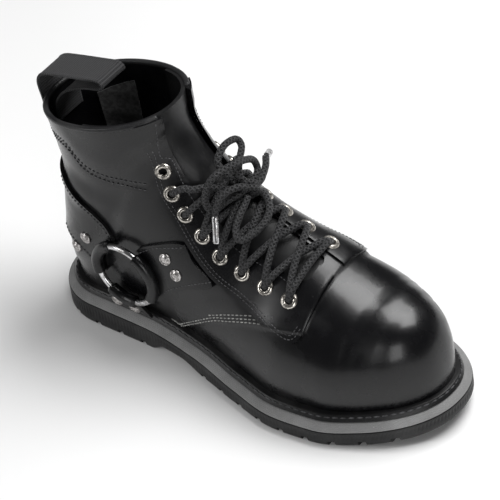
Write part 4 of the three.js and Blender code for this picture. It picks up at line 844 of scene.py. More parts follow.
# %% Facings and tongue
FACING_THICK = 1.5
FACING_LATERAL = [(0.30, 1.06), (0.300, 0.87), (0.325, 0.715), (0.372, 0.615), (0.430, 0.510),
                  (0.490, 0.445), (0.560, 0.415), (0.625, 0.385), (0.680, 0.360), (0.708, 0.355),
                  (0.725, 0.370), (0.735, 0.400), (0.739, 0.45)]
FACING_MEDIAL = [(0.30, 1.06), (0.300, 0.87), (0.325, 0.735), (0.372, 0.655), (0.430, 0.575),
                 (0.490, 0.52), (0.560, 0.485), (0.625, 0.455), (0.680, 0.435), (0.705, 0.432),
                 (0.722, 0.440), (0.733, 0.460), (0.739, 0.49)]
FACING_CLOSE = [(0.739, 0.62), (0.60, 0.9), (0.40, 1.12)]

def band(name, low, high, rows, columns):
    """Thin wall over part of the face, between two distances from it."""
    return piece(name, *wall(face_grid(high, rows, columns), face_grid(low, rows, columns)))

FACING_ROWS = ROWS[ROWS > 1.4]
for name, table, side in (("lateral", FACING_LATERAL, -1), ("medial", FACING_MEDIAL, 1)):
    columns = side * np.linspace(0.0 if side < 0 else 0.02, 0.78, 84)
    line = np.vstack([along_line(on_boot(table[1:]), 2.0), on_boot(FACING_CLOSE), on_boot(table[:1])])
    facing = band(f"facing_{name}_leather", GAP, GAP + FACING_THICK, FACING_ROWS, np.sort(columns))
    y_span = (-BALL_WIDTH, 0) if side < 0 else (BALL_WIDTH * 0.04, BALL_WIDTH)
    carve(facing, [prism(line, 1, *y_span)], "INTERSECT")
    carve(facing, [throat_tool(), hole_tool()])
    dress(facing, BLACK_LEATHER, replaces=[f"facing_{name}"])
tongue_rows = ROWS[ROWS >= 1.6]
tongue = band("tongue_leather", -WALL - GAP - 2.6, -WALL - GAP, tongue_rows, np.linspace(-0.5, 0.4, 60))
dress(tongue, INNER_LEATHER, replaces=["tongue"])
lining = band("lining_patch", -WALL - 1.1, -WALL - 0.35, np.linspace(12.6, 14.3, 14),
             np.linspace(0.60, 0.80, 24))
dress(lining, PATCH)


# %% [markdown]
# ## Harness ring, straps and rivets
# The ring hangs in three leather loops. Each strap is a band cut from the shell's own surface,
# joined to its loop, so it lies on the boot without a gap.

# %% Ring and straps
RING_AT = np.array([FEATHER_BACK + UPPER_LENGTH * 0.242, BALL_WIDTH * -0.362, COLLAR_HEIGHT * 0.345])
RING_RADIUS, RING_WIRE, STRAP_THICK, LOOP_WALL = 22.3, 2.1, 2.2, 1.6

def ring_path(low, high, count, radius=RING_RADIUS):
    """Arc of the ring's middle line between two angles in degrees."""
    a = np.radians(np.linspace(low, high, count))
    return RING_AT + np.stack([radius * np.cos(a), 0 * a, radius * np.sin(a)], -1)

ring_points, ring_faces, _ = tube(ring_path(0, 360, 121)[:-1], RING_WIRE, 20, closed=True)
ring = piece("ring_steel", ring_points, ring_faces, 80)
dress(ring, STEEL, body="ring", replaces=["harness_ring"])

HEEL_STRAP = [(0.06, 0.640), (0.120, 0.590), (0.165, 0.535), (0.202, 0.478), (0.212, 0.440), (0.182, 0.385),
              (0.176, 0.310), (0.155, 0.300), (0.100, 0.325), (0.03, 0.375)]
HEEL_STRAP_MEDIAL = [(0.06, 0.640), (0.120, 0.585), (0.185, 0.50), (0.208, 0.445), (0.206, 0.395),
                     (0.185, 0.36), (0.100, 0.330), (0.03, 0.375)]
HEEL_BEHIND = [(-0.20, 0.43), (-0.20, 0.665)]
FRONT_STRAP = [(0.272, 0.430), (0.280, 0.470), (0.325, 0.512), (0.398, 0.545), (0.432, 0.490), (0.486, 0.430),
               (0.420, 0.385), (0.365, 0.330), (0.325, 0.262), (0.300, 0.275), (0.304, 0.36)]
STRAP_ROWS = np.linspace(4.0, 14.5, 130)
AROUND = np.linspace(-1, 1, 150)

def loop_tool(low, high, radius, name="tool"):
    """Round bar along an arc of the ring, closed on itself when the arc is a whole turn."""
    count = max(int(abs(high - low) / 4), 3)
    whole = high - low >= 360
    path = ring_path(low, high, count + 1)[:-1] if whole else ring_path(low, high, count)
    points, faces, _ = tube(path, radius, 18, closed=whole)
    return piece(name, points, faces)

def strap(name, outlines, span):
    """Band cut by side outlines, with a loop round the ring and the ring's channel cut out of it."""
    made = None
    for line, low, high in outlines:
        part = band(name if made is None else "tool", GAP, GAP + STRAP_THICK, STRAP_ROWS, AROUND)
        carve(part, [prism(line, 1, low, high)], "INTERSECT")
        made = part if made is None else carve(made, [part], "UNION")
    if span:
        carve(made, [loop_tool(*span, RING_WIRE + GAP + LOOP_WALL)], "UNION")
        carve(made, [loop_tool(0, 360, RING_WIRE + GAP)])
    return made

def heel_outline(line):
    """Outline of one side of the heel strap, closed by two places behind the boot."""
    return np.vstack([along_line(on_boot(line), 2.5), on_boot(HEEL_BEHIND)])

heel_outlines = [(heel_outline(HEEL_STRAP), -BALL_WIDTH, 1),
                 (heel_outline(HEEL_STRAP_MEDIAL), 0, BALL_WIDTH)]
dress(strap("heel_strap_leather", heel_outlines, (117, 195)), STRAP_LEATHER, replaces=["strap_heel"])
front_outline = along_line(on_boot(FRONT_STRAP), 2.5, closed=True)
dress(strap("front_strap_leather", [(front_outline, -BALL_WIDTH, 0)], (-31, 59)), STRAP_LEATHER,
      replaces=["strap_front"])

TAB = dict(top=(0.178, 0.268, 0.225, -0.362), base=(0.165, 0.285, 0.145, -0.318))

def tab_point(across, rise, out=0.0):
    """Place on the middle plane of the short strap between ring and welt."""
    low, high = np.array(TAB["base"]), np.array(TAB["top"])
    m = low + (high - low) * np.asarray(rise)[..., None]
    x = FEATHER_BACK + UPPER_LENGTH * (m[..., 0] + (m[..., 1] - m[..., 0]) * across)
    n = np.array([0, -0.955, -0.297])
    middle = np.stack([x, BALL_WIDTH * m[..., 3], COLLAR_HEIGHT * m[..., 2]], -1)
    return middle + n * np.asarray(out)[..., None]

across, rise = np.meshgrid(np.linspace(0, 1, 24), np.linspace(0, 1, 12))
crown = 0.35 * (1 - (2 * across - 1) ** 6) * (1 - (2 * rise - 1) ** 6)
tab = piece("tab_strap_leather", *wall(tab_point(across, rise, STRAP_THICK / 2 + crown - 0.3),
                                      tab_point(across, rise, -STRAP_THICK / 2)))
carve(tab, [loop_tool(231, 281, RING_WIRE + GAP + LOOP_WALL)], "UNION")
carve(tab, [loop_tool(0, 360, RING_WIRE + GAP)])
dress(tab, STRAP_LEATHER, replaces=["strap_tab"])

# %% Rivets and eyelets
RIVET = [(0, 2.0), (1.6, 1.95), (2.6, 1.6), (2.9, 1.25), (3.1, 1.15), (3.3, 1.3), (3.8, 1.25), (4.2, 0.8),
         (4.3, 0.3), (4.3, -0.2), (0, -0.2)]

def rivet_form():
    """Domed head with a rolled rim, a slot's two lips and a ring of dots."""
    parts = [turned(RIVET, 28)]
    for k in range(9):
        a = 2 * np.pi * k / 9
        p, f = turned([(0, 0.42), (0.22, 0.34), (0.36, 0.0), (0, -0.3)], 7)
        parts.append((p + [2.15 * math.cos(a), 2.15 * math.sin(a), 1.72], f))
    for y in (-0.55, 0.55):
        p, f, _ = tube([(-1.1, y, 1.95), (0, y, 2.02), (1.1, y, 1.95)], 0.26, 6)
        parts.append((p, f))
    return gather(parts)

RIVETS = [("rivet_heel_upper", 10.33, -0.57), ("rivet_heel_lower", 10.4, -0.645),
          ("rivet_front_upper", 6.68, -0.57), ("rivet_front_lower", 6.21, -0.61)]
form, form_faces = rivet_form()
for name, at, u in RIVETS:
    seat = stand(at, u, GAP + STRAP_THICK - 0.1)
    dress(piece(f"{name}_head", put(form, seat), form_faces, 50), RIVET_STEEL, replaces=[name])
for name, share in (("rivet_tab_back", 0.20), ("rivet_tab_front", 0.68)):
    out = np.array([0, -0.955, -0.297])
    basis = (np.array([1.0, 0, 0]), np.cross(out, [1.0, 0, 0]), out,
             tab_point(np.array(share), np.array(0.40), np.array(STRAP_THICK / 2 - 0.2)))
    dress(piece(f"{name}_head", put(form, basis), form_faces, 50), RIVET_STEEL,
          replaces=[name])

EYELET = [(2.45, -1.2), (2.45, 0.55), (2.75, 1.0), (3.3, 1.3), (4.2, 1.25), (5.0, 0.8), (5.5, 0.2),
          (5.55, -0.3), (5.0, -0.35), (3.2, -0.3), (3.0, -1.2)]
for side, key in (("lateral", 1), ("medial", 2)):
    rings = []
    for row in EYELETS:
        p, f = turned(EYELET, 30)
        rings.append((put(p, stand(row[0], row[key], GAP + FACING_THICK)), f))
    dress(piece(f"eyelets_{side}_nickel", *gather(rings), 50), NICKEL,
          replaces=[f"eyelet_{side}_{i + 1}" for i in range(8)])

# %% [markdown]
# ## The lace
# One braided cord runs up through the eyelets in crossings and is tied in a bow. Each crossing
# dives into its eyelet from the throat side. The bow's loops and ends are free cord; the length of
# each is printed.

# %% Lace through the eyelets
LACE_RADIUS = 2.25
LACE_SIDES = 16

def lace_line(way, step=1.6):
    """Even points through stations, shares and heights over the face."""
    w = np.asarray(way, float)
    n = face_normal(w[:, 0], w[:, 1])
    return along_line(face_point(w[:, 0], w[:, 1]) + n * w[:, 2:3], step)

def cord_piece(name, path, radius=LACE_RADIUS):
    """Tube of lace with its map along it, and its length."""
    points, faces, rows = tube(path, radius, LACE_SIDES)
    made = piece(name, points, faces, 80)
    length = float(np.linalg.norm(np.diff(path, axis=0), axis=1).sum())
    stretch_uv(made, rows, LACE_SIDES, length)
    return made, length

def strand(start, end, over):
    """Out of one eyelet, over its rim to the throat, across, and into the other one."""
    (a0, u0), (a1, u1) = start, end
    rim, top = FACING_THICK + GAP + 3.3, FACING_THICK + GAP + (5.2 if over else 2.9)
    way = [(a0, u0, -2.5), (a0, u0, 1.6)]
    for t, lift in ((0.13, rim), (0.3, top), (0.5, top + 0.4), (0.7, top), (0.87, rim)):
        way.append((a0 + (a1 - a0) * t, u0 + (u1 - u0) * t, lift))
    return lace_line(way + [(a1, u1, 1.6), (a1, u1, -2.5)])

strands = [strand((EYELETS[7][0], EYELETS[7][1]), (EYELETS[7][0], EYELETS[7][2]), False)]
for i in range(7, 2, -1):
    strands.append(strand((EYELETS[i][0], EYELETS[i][2]), (EYELETS[i - 1][0], EYELETS[i - 1][1]), False))
    strands.append(strand((EYELETS[i][0], EYELETS[i][1]), (EYELETS[i - 1][0], EYELETS[i - 1][2]), True))
for i, path in enumerate(strands):
    made, length = cord_piece(f"lace_strand_{i + 1}", path)
    dress(made, LACE)
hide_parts("lace_bar", *[f"lace_crossing_{i}" for i in range(1, 5)])

# %% Knot
def knot_path(at, u, lift, long, wide, turns, lean):
    """A band wound round the bow's waist: a short helix whose turns lie side by side."""
    p = face_point(np.array([at]), np.array([u]))[0] + face_normal(np.array([at]), np.array([u]))[0] * lift
    a = np.linspace(0, 2 * np.pi * turns, 60)
    x, y, n, _ = stand(at, u)
    y = y * math.cos(lean) + x * math.sin(lean)
    x = np.cross(y, n)
    return (p + y * (np.linspace(-0.5, 0.5, 60) * long)[:, None] + x * (wide * np.cos(a))[:, None]
            + n * (wide * 0.85 * np.sin(a))[:, None])

# Each winding: station, share, height, length, half width, turns and lean.
KNOT = ((5.68, -0.02, 13.2, 5.2, 3.4, 1.6, 0.5), (5.62, -0.02, 12.4, 7.0, 2.4, 1.2, -0.9))
KNOT_ROWS, KNOT_LENGTH = 124, 110.0
knot_parts = []
for spec in KNOT:
    p, f, _ = tube(knot_path(*spec), LACE_RADIUS, LACE_SIDES)
    knot_parts.append((p, f))
knot = piece("bow_knot", *gather(knot_parts), 80)
stretch_uv(knot, KNOT_ROWS, LACE_SIDES, KNOT_LENGTH)
dress(knot, LACE, replaces=["lace_knot"])

# %% Bow
BOW = {  # each way: station, share around and height over the face
    "lace_loop_upper": [
        (5.74, 0, 12.5), (5.84, 0.05, 14.5), (6.02, 0.075, 16), (6.35, 0.05, 20), (6.72, -0.03, 23),
        (6.95, -0.11, 21), (6.78, -0.17, 15), (6.42, -0.225, 9), (6.12, -0.225, 7.5), (5.98, -0.155, 9),
        (5.86, -0.105, 11.5), (5.76, -0.06, 12.5)],
    "lace_loop_lower": [
        (5.5, -0.02, 12.5), (5.28, 0.005, 11), (4.88, -0.03, 13), (4.62, -0.1, 13), (4.65, -0.19, 12.5),
        (4.88, -0.26, 12), (5.18, -0.235, 12), (5.36, -0.165, 12), (5.44, -0.115, 11.5),
        (5.54, -0.07, 12.5)],
    "lace_loop_top": [
        (5.95, -0.02, 12.5), (6.25, -0.02, 13.5), (6.6, 0.03, 15.5), (6.95, 0.095, 17), (7.38, 0.1, 17),
        (7.55, 0.035, 14), (7.2, -0.035, 11), (6.7, -0.045, 9.5), (6.3, -0.045, 8.3), (6, -0.045, 8.5)],
    "lace_end_lateral": [
        (5.72, -0.04, 14.5), (5.88, -0.06, 16.5), (6.04, -0.085, 17), (6.22, -0.14, 16.5),
        (6.14, -0.195, 14), (5.98, -0.235, 12.5)],
    "lace_end_medial": [
        (5.84, -0.075, 12.5), (5.7, -0.035, 13.2), (5.6, 0, 14.2), (5.6, 0.035, 15.5),
        (5.66, 0.055, 16.2), (5.72, 0.075, 17), (5.86, 0.108, 18.5), (6.04, 0.14, 19.6)],
    "lace_run_lateral": [
        (7.75, -0.31, -2.5), (7.75, -0.305, 1.8), (7.6, -0.262, 5), (7.42, -0.235, 5.6),
        (7.15, -0.215, 6), (6.85, -0.17, 6.5), (6.5, -0.13, 7), (6.2, -0.1, 7.5), (5.95, -0.07, 9.5)],
}
bow = {}
for name, way in BOW.items():
    path = lace_line(way)
    made, length = cord_piece(f"{name}_cord", path)
    dress(made, LACE, replaces=[name])
    bow[name] = (made, path, length)
    print(name, round(length, 1), "mm")

# %% Lace tips
AGLETS = {"aglet_lateral": ((5.99, -0.232, 12.5), (5.46, -0.335, 10.4)),
          "aglet_medial": ((6.03, 0.138, 19.6), (6.10, 0.195, 21.5))}
TIP = [(0, 0), (1.6, 0.0), (2.3, 0.05), (2.45, 0.12), (2.3, 0.16), (2.45, 0.2), (2.3, 0.25), (2.35, 0.93),
       (2.1, 0.985), (1.5, 1.0), (0, 1.0)]
tips = {}
for name, ends in AGLETS.items():
    w = np.array(ends)
    a, b = face_point(w[:, 0], w[:, 1]) + face_normal(w[:, 0], w[:, 1]) * w[:, 2:3]
    long = np.linalg.norm(b - a)
    z = (b - a) / long
    x = np.cross(z, [0.2, 0.1, 1.0])
    x /= np.linalg.norm(x)
    p, f = turned([(r, h * long) for r, h in TIP], 18)
    made = piece(f"{name}_metal", put(p, (x, np.cross(z, x), z, a)), f, 40)
    tips[name] = dress(made, STEEL, replaces=[name])

FREE = {"lace_loop_upper": ("object", []), "lace_loop_lower": ("object", []), "lace_loop_top": ("object", []),
        "lace_end_lateral": ("fitting", [tips["aglet_lateral"]]),
        "lace_end_medial": ("fitting", [tips["aglet_medial"]]),
        "lace_run_lateral": ("knot", [knot])}
for name, (far, extra) in FREE.items():
    made, path, length = bow[name]

# %% [markdown]
# ## The zip and the pull loop
# The zip closes a slot on the inner side. Its teeth are small blocks set to left and right in turn
# on a strip of tape. The slider has a crown that carries the pull, which swings on it. The loop at
# the back is woven tape, sewn outside the collar, brought over it and folded back inside.

# %% Zip
ZIP_STOP, TAPE_BACK, TAPE_FRONT = 0.80, -1.7, -1.0
chain = band("zip_tape", TAPE_BACK, TAPE_FRONT, np.linspace(5.0, 14.9, 90), np.linspace(0.2, 0.98, 120))
carve(chain, [zip_tool(GAP, ZIP_LOW + 0.004, 0.99)], "INTERSECT")
dress(chain, FOOTBED, replaces=["zip_chain"])

TOOTH_PITCH = 1.55
up = np.arange(ZIP_LOW * COLLAR_HEIGHT + 3.5, ZIP_STOP * COLLAR_HEIGHT - 1.0, TOOTH_PITCH)
at, u = place(zip_x(up / COLLAR_HEIGHT), up, 1)
centre, out = leather_point(at, u, -0.55), face_normal(at, u)
way = np.gradient(centre, axis=0)
way /= np.linalg.norm(way, axis=1, keepdims=True)
cross = np.cross(way, out)
TOOTH_PLAN = ((-1.9, -0.42), (0.5, -0.42), (0.9, 0), (0.5, 0.42), (-1.9, 0.42))
TOOTH = np.array([(x, y, z) for z in (-0.45, 0.45) for x, y in TOOTH_PLAN])
hand = np.where(np.arange(len(up)) % 2 == 0, 1.0, -1.0)
p = (centre[:, None] + cross[:, None] * (TOOTH[None, :, :1] * hand[:, None, None])
     + way[:, None] * TOOTH[None, :, 1:2] + out[:, None] * TOOTH[None, :, 2:])
faces = []
TOOTH_FACES = [[0, 1, 6, 5], [1, 2, 7, 6], [2, 3, 8, 7], [3, 4, 9, 8], [4, 0, 5, 9], [4, 3, 2, 1, 0],
               [5, 6, 7, 8, 9]]
for k, h in enumerate(hand):
    faces += [[v + len(TOOTH) * k for v in (f if h > 0 else f[::-1])] for f in TOOTH_FACES]
teeth = piece("zip_teeth", p.reshape(-1, 3), faces, 20)
dress(teeth, ZIP_STEEL)

def slab_solid(outline, low, high, basis, name, bevel=0.25, holes=()):
    """Flat plate over an outline, with holes, its edges eased by a bevel."""
    made = prism(outline, 2, low, high)
    made.name = name
    if len(holes):
        carve(made, [prism(h, 2, low - 1, high + 1) for h in holes])
    soft = made.modifiers.new("ease", "BEVEL")
    soft.width, soft.segments, soft.limit_method = bevel * MM, 2, "ANGLE"
    mesh = bake(made)
    x, y, n, q = basis
    turn = Matrix(np.vstack([np.column_stack([x, y, n, np.array(q) * MM]), [0, 0, 0, 1]]).tolist())
    mesh.transform(turn)
    mesh.shade_smooth()
    mesh.set_sharp_from_angle(angle=math.radians(30))
    return made

def rounded(width, low, high, corner, count=6):
    """Outline of a plate with round corners."""
    a = np.linspace(0, np.pi / 2, count)
    spots = [(width / 2 - corner, high - corner, 0), (-width / 2 + corner, high - corner, 1),
             (-width / 2 + corner, low + corner, 2), (width / 2 - corner, low + corner, 3)]
    arcs = [(x, y, a + k * np.pi / 2) for x, y, k in spots]
    return np.vstack([np.stack([x + corner * np.cos(w), y + corner * np.sin(w)], -1) for x, y, w in arcs])

SLIDER_UP, SLIDER_THICK = 0.765, 2.4
slide_at, slide_u = place(np.array([zip_x(SLIDER_UP)]), np.array([COLLAR_HEIGHT * SLIDER_UP]), 1)
n = face_normal(slide_at, slide_u)[0]
x = np.cross([0, 0, 1], n)
x /= np.linalg.norm(x)
SLIDE = (x, np.cross(n, x), n, face_point(slide_at, slide_u)[0] + n * 1.2)
body_line = [(-4.3, 5.5), (-4.3, 1.5), (-3.2, -5.5), (3.2, -5.5), (4.3, 1.5), (4.3, 5.5), (1.4, 5.5),
             (0, 3.4), (-1.4, 5.5)]
slider = slab_solid(np.array(body_line)[::-1], 0, SLIDER_THICK, SLIDE, "slider_plate", 0.3)
dress(slider, ZIP_STEEL, replaces=["zip_slider"])
a = np.linspace(0, np.pi, 24)
bridge = np.stack([0 * a, 3.4 * np.cos(a), 2.0 + 3.6 * np.sin(a) ** 0.6], -1)
p, f, _ = tube(bridge, 0.8, 10)
dress(piece("slider_crown", put(p, SLIDE), f, 60), ZIP_STEEL)
PULL_TOP, PULL_LOW, PULL_LIFT, PULL_WIDTH, PULL_HALF_THICK = -0.65, -24.65, 3.55, 7.6, 0.6
EYE_WIDTH, EYE_LOW, EYE_WALL = 4.6, -6.6, 1.3
pull_plate = rounded(PULL_WIDTH, PULL_LOW, PULL_TOP, 1.6)
pull_eye = rounded(EYE_WIDTH, EYE_LOW, PULL_TOP - EYE_WALL, 0.9)
pull = slab_solid(pull_plate, PULL_LIFT - PULL_HALF_THICK, PULL_LIFT + PULL_HALF_THICK, SLIDE,
                  "pull_plate", 0.25, holes=[pull_eye])
dress(pull, ZIP_STEEL, body="pull", replaces=["zip_pull"])

# %% Pull loop
TAPE_PATH = [(-5.4, 0.775), (-6.8, 0.86), (-8.3, 0.93), (-3.5, 0.975), (12, 1.005), (34, 1.035), (44, 1.045),
             (47.5, 1.030), (44, 1.010), (30, 0.985), (14, 0.935), (5.5, 0.87), (5.2, 0.79)]
TAPE_HALF, TAPE_THICK = 11.5, 1.5
line = along_line([(FEATHER_BACK + b, COLLAR_HEIGHT * h) for b, h in TAPE_PATH], 1.0)
t = np.gradient(line, axis=0)
t /= np.linalg.norm(t, axis=1, keepdims=True)
normal = np.stack([-t[:, 1], t[:, 0]], -1)
y = np.linspace(-TAPE_HALF, TAPE_HALF, 41)
length = np.concatenate([[0], np.cumsum(np.linalg.norm(np.diff(line, axis=0), axis=1))])
edge = 0.28 * np.exp(-((np.abs(y) - 10.2) / 0.7) ** 2)
def tape_face(half):
    """One face of the tape: its line moved out by half its thickness, with a raised edge."""
    move = half * (TAPE_THICK / 2 - 0.15 + edge)[None, :, None]
    flat = line[:, None] + normal[:, None] * move
    lean = 0.4 * np.sin(length / 14.0)[:, None] * np.ones_like(y)[None]
    return np.stack([flat[..., 0], y[None] + lean, flat[..., 1]], -1)
loop_points, loop_faces = wall(tape_face(1), tape_face(-1))
loop = piece("pull_loop_tape", loop_points, loop_faces)
layer = loop.data.uv_layers.new(name="along")
loops = np.zeros(len(loop.data.loops), int)
loop.data.loops.foreach_get("vertex_index", loops)
places = loop_points[loops]
away = (places[:, None, 0] - line[None, :, 0]) ** 2 + (places[:, None, 2] - line[None, :, 1]) ** 2
near = np.argmin(away, 1)
layer.data.foreach_set("uv", np.stack([length[near] * MM, places[:, 1] * MM], -1).ravel().astype(np.float32))
dress(loop, TAPE, replaces=["pull_loop"])

# %% [markdown]
# ## The sole
# The tread is a slab with lugs cut in its edge and a fine rib all round its side. A grey band lies
# on it, sloping in, and the stitched welt lies on that.

# %% Sole layers
SIDE_COLUMNS = 1040

def layered(name, rings, ribs=0.0, columns=SIDE_COLUMNS):
    """Stack of inset outlines at given heights, closed below and above by strips across."""
    turns = 2 * np.pi * np.arange(columns) / columns
    flat = outline_point(turns, np.zeros(columns))
    way = np.concatenate([[0], np.cumsum(np.linalg.norm(np.diff(flat, axis=0), axis=1))])
    total = way[-1] + np.linalg.norm(flat[0] - flat[-1])
    count = round(total / 2.6)
    loops = []
    for inset, height, share in rings:
        wave = ribs * share * (0.5 + 0.5 * np.cos(2 * np.pi * count * way / total)) ** 2
        p = outline_point(turns, inset + wave)
        loops.append(np.stack([p[:, 0], p[:, 1], height(p[:, 0])], -1))
    n = len(loops)
    faces = quads(n, columns, wrap_cols=True)
    k = np.arange(columns // 2)
    low = np.stack([k, (columns - k) % columns, (columns - k - 1) % columns, k + 1], -1)
    high = low[:, ::-1] + (n - 1) * columns
    points, tris = weld(np.vstack(loops), np.vstack([faces, low, high]))
    return piece(name, points, tris)

def over(key, add):
    """Height rule: a constant above one of the sole's surfaces."""
    return lambda x: run_height(key, x) + add

def between(share, add=0.0):
    """Height rule: a share of the way from the sole's bottom to its top."""
    return lambda x: run_height("bottom", x) + (run_height("top", x) - run_height("bottom", x)) * share + add

TREAD_RINGS = [(1.6, over("bottom", 0), 0), (0.9, over("bottom", 0.6), 0), (0.3, over("bottom", 1.8), 0),
               (0.0, over("bottom", 3.0), 0), (0.05, between(0.32, 2.2), 0.2), (0.1, between(0.38, 2.4), 1),
               (0.15, between(0.80), 1), (0.15, between(0.86), 0.2), (0.2, between(0.92), 0),
               (0.3, over("top", 0), 0)]
LUG_DEPTH, LUG_PITCH, LUG_GAP, LUG_REACH, CENTRE_REACH = 4.0, 17.0, 4.5, 24.0, 15.0
LUG_ZONES = ((0.08, 0.27), (0.45, 0.92))

def lug_tool():
    """Grooves between the lugs along both edges and down the middle, as one tool."""
    parts = []
    square = ((-0.5, -0.5), (0.5, -0.5), (0.5, 0.5), (-0.5, 0.5))
    box = np.array([(i, j, k) for k in (-0.5, 0.5) for i, j in square])
    sides = [[3, 2, 1, 0], [4, 5, 6, 7], [0, 1, 5, 4], [1, 2, 6, 5], [2, 3, 7, 6], [3, 0, 4, 7]]
    for low, high in LUG_ZONES:
        start, end = SOLE_BACK + SOLE_LENGTH * low, SOLE_BACK + SOLE_LENGTH * high
        count = round((end - start) / LUG_PITCH)
        for i in range(count + 1):
            x = start + (end - start) * i / count
            share = (x - SOLE_BACK) / SOLE_LENGTH
            centre = BALL_WIDTH * float(smooth(OUTLINE, "shift", share))
            spots = []
            for key, sign in (("lateral", -1), ("medial", 1)):
                reach = BALL_WIDTH * float(smooth(OUTLINE, key, share) * end_cap(share))
                spots.append((x, centre + sign * (reach + LUG_GAP - LUG_REACH / 2), LUG_REACH))
            if i < count:
                spots.append((x + (end - start) / count / 2, centre, CENTRE_REACH))
            for gx, gy, reach in spots:
                ceiling = float(run_height("bottom", gx)) + LUG_DEPTH
                depth = ceiling + LUG_DEPTH
                parts.append((box * (LUG_GAP, reach, depth) + (gx, gy, ceiling - depth / 2), sides))
    return piece("tool", *gather(parts))

tread = layered("tread_rubber_sole", TREAD_RINGS, ribs=0.35)
carve(tread, [lug_tool()])
dress(tread, TREAD_RUBBER, replaces=["outsole"])
LIP = BAND_LIP
BAND_RINGS = [(LIP + 0.5, over("top", MIDSOLE_BASE), 0), (LIP, over("top", MIDSOLE_BASE + 0.4), 0),
              (LIP + 0.3, over("top", MIDSOLE_BASE + 0.8), 0),
              (LIP + BAND_SLOPE - 0.3, over("top", MIDSOLE_TOP - 0.25), 0),
              (LIP + BAND_SLOPE + 0.3, over("top", MIDSOLE_TOP), 0)]
grey = layered("grey_band", BAND_RINGS, columns=480)
dress(grey, GREY_RUBBER, replaces=["midsole_band"])
IN = LIP + BAND_SLOPE
WELT_RINGS = [(IN + 0.3, over("top", WELT_BASE), 0), (IN - 0.2, over("top", WELT_BASE + 0.5), 0),
              (IN + 0.2, over("top", WELT_BASE + 1.2), 0), (IN + 1.2, over("top", WELT_TOP - 1.3), 0),
              (IN + 1.6, over("top", WELT_TOP - 1.25), 0), (IN + 2.2, over("top", WELT_TOP - 0.4), 0),
              (IN + WELT_SLOPE, over("top", WELT_TOP), 0)]
welt = layered("welt_strip", WELT_RINGS, columns=480)
dress(welt, WELT_RUBBER, replaces=["welt"])
INSOLE_INSET = FEATHER_INSET + WALL + 4
SOCK_RINGS = [(INSOLE_INSET, over("top", FEATHER_RISE), 0),
              (INSOLE_INSET, over("top", FEATHER_RISE + 2.4), 0),
              (INSOLE_INSET + 0.8, over("top", FEATHER_RISE + 3), 0)]
sock = layered("footbed", SOCK_RINGS, columns=240)
dress(sock, FOOTBED, replaces=["insole"])

# %% [markdown]
# ## Seams
# Every stitch is a small pod of thread. The pale triple row marks where the quarter is sewn over
# the vamp; the other rows are black and show by their shine.

# %% Pale stitches
# Distance between stitches, their length and their radius.
FACING_STITCH, STRAP_STITCH, CUFF_STITCH = (2.6, 1.9, 0.34), (2.8, 2.0, 0.36), (3.0, 2.2, 0.38)
SEAM_STITCH, WELT_STITCH = (3.4, 2.5, 0.42), (5.2, 4.0, 0.55)
PALE_ROWS = [(SEAM, -1, 1.9), (SEAM, -1, 3.8), (SEAM[2:], -1, 5.9), (SEAM_MEDIAL, 1, 1.9),
             (SEAM_MEDIAL, 1, 3.8)]
pale = [face_seam(line, side, 0.1, *SEAM_STITCH, inset=inset) for line, side, inset in PALE_ROWS]
dress(piece("pale_stitches", *gather(pale), 60), PALE_THREAD)

# %% Black stitches
black = []
on_facing = GAP + FACING_THICK + 0.05
for table, side in ((FACING_LATERAL, -1), (FACING_MEDIAL, 1)):
    for inset in (2.2, 4.4):
        black.append(face_seam(on_boot(table[1:-1]), side, on_facing, *FACING_STITCH, inset=inset))
rows_at = np.linspace(3.0, 14.6, 14)
near_eyelets = np.interp(rows_at, [3, 5, 9, 14.6], [-0.28, -0.325, -0.185, -0.15])
black.append(share_seam(rows_at, near_eyelets, on_facing, *FACING_STITCH))
for k in (-2.2, 2.2):
    black.append(face_seam(np.array(CUFF) + (0, k), -1, 0.05, *CUFF_STITCH))
    black.append(face_seam(np.array(CUFF_MEDIAL) + (0, k), 1, 0.05, *CUFF_STITCH))
on_strap = GAP + STRAP_THICK + 0.05
for table, side, cut in ((HEEL_STRAP, -1, slice(0, 5)), (HEEL_STRAP, -1, slice(6, 10)),
                         (HEEL_STRAP_MEDIAL, 1, slice(0, 8)), (FRONT_STRAP, -1, slice(1, 4)),
                         (FRONT_STRAP, -1, slice(5, 9))):
    black.append(face_seam(on_boot(table[cut]), side, on_strap, *STRAP_STITCH, inset=-2.4))
for offset in (-6.0, 6.0, 9.0):
    z = np.linspace(ZIP_LOW * COLLAR_HEIGHT - 2, COLLAR_HEIGHT * 0.86, 12)
    black.append(face_seam(np.stack([zip_x(z / COLLAR_HEIGHT) + offset, z], -1), 1, 0.05, *STRAP_STITCH))
dress(piece("black_stitches", *gather(black), 60), BLACK_THREAD)

# %% Welt stitches and collar binding
WELT_PLACES, RIM_PLACES = 700, 110
RIM_AT, BINDING_RADIUS = 14.98, 1.9
turns = np.linspace(0, 2 * np.pi, WELT_PLACES)
flat = outline_point(turns, np.full(WELT_PLACES, IN + 1.4))
line = np.stack([flat[:, 0], flat[:, 1], run_height("top", flat[:, 0]) + WELT_TOP - 1.2], -1)
inward = outline_point(turns, np.full(WELT_PLACES, IN + 2.4)) - flat
normals = np.stack([-inward[:, 0], -inward[:, 1], np.full(WELT_PLACES, 1.2)], -1)
dress(piece("welt_stitches", *stitches(line, normals, *WELT_STITCH), 60), BLACK_THREAD)
for name, low, high in (("lateral", -1.0, -0.135), ("medial", 0.175, 1.0)):
    u = np.linspace(low, high, RIM_PLACES)
    rim = leather_point(np.full(RIM_PLACES, RIM_AT), u, -WALL / 2)
    points, faces, _ = tube(rim, BINDING_RADIUS)
    dress(piece(f"collar_binding_{name}", points, faces, 80), BINDING)

# %% [markdown]
# ## Floor, light and camera
# A pale floor and large soft lights give the polished leather its broad highlights. The camera
# looks down on the outer side from in front, at the angle the boot was pictured at.

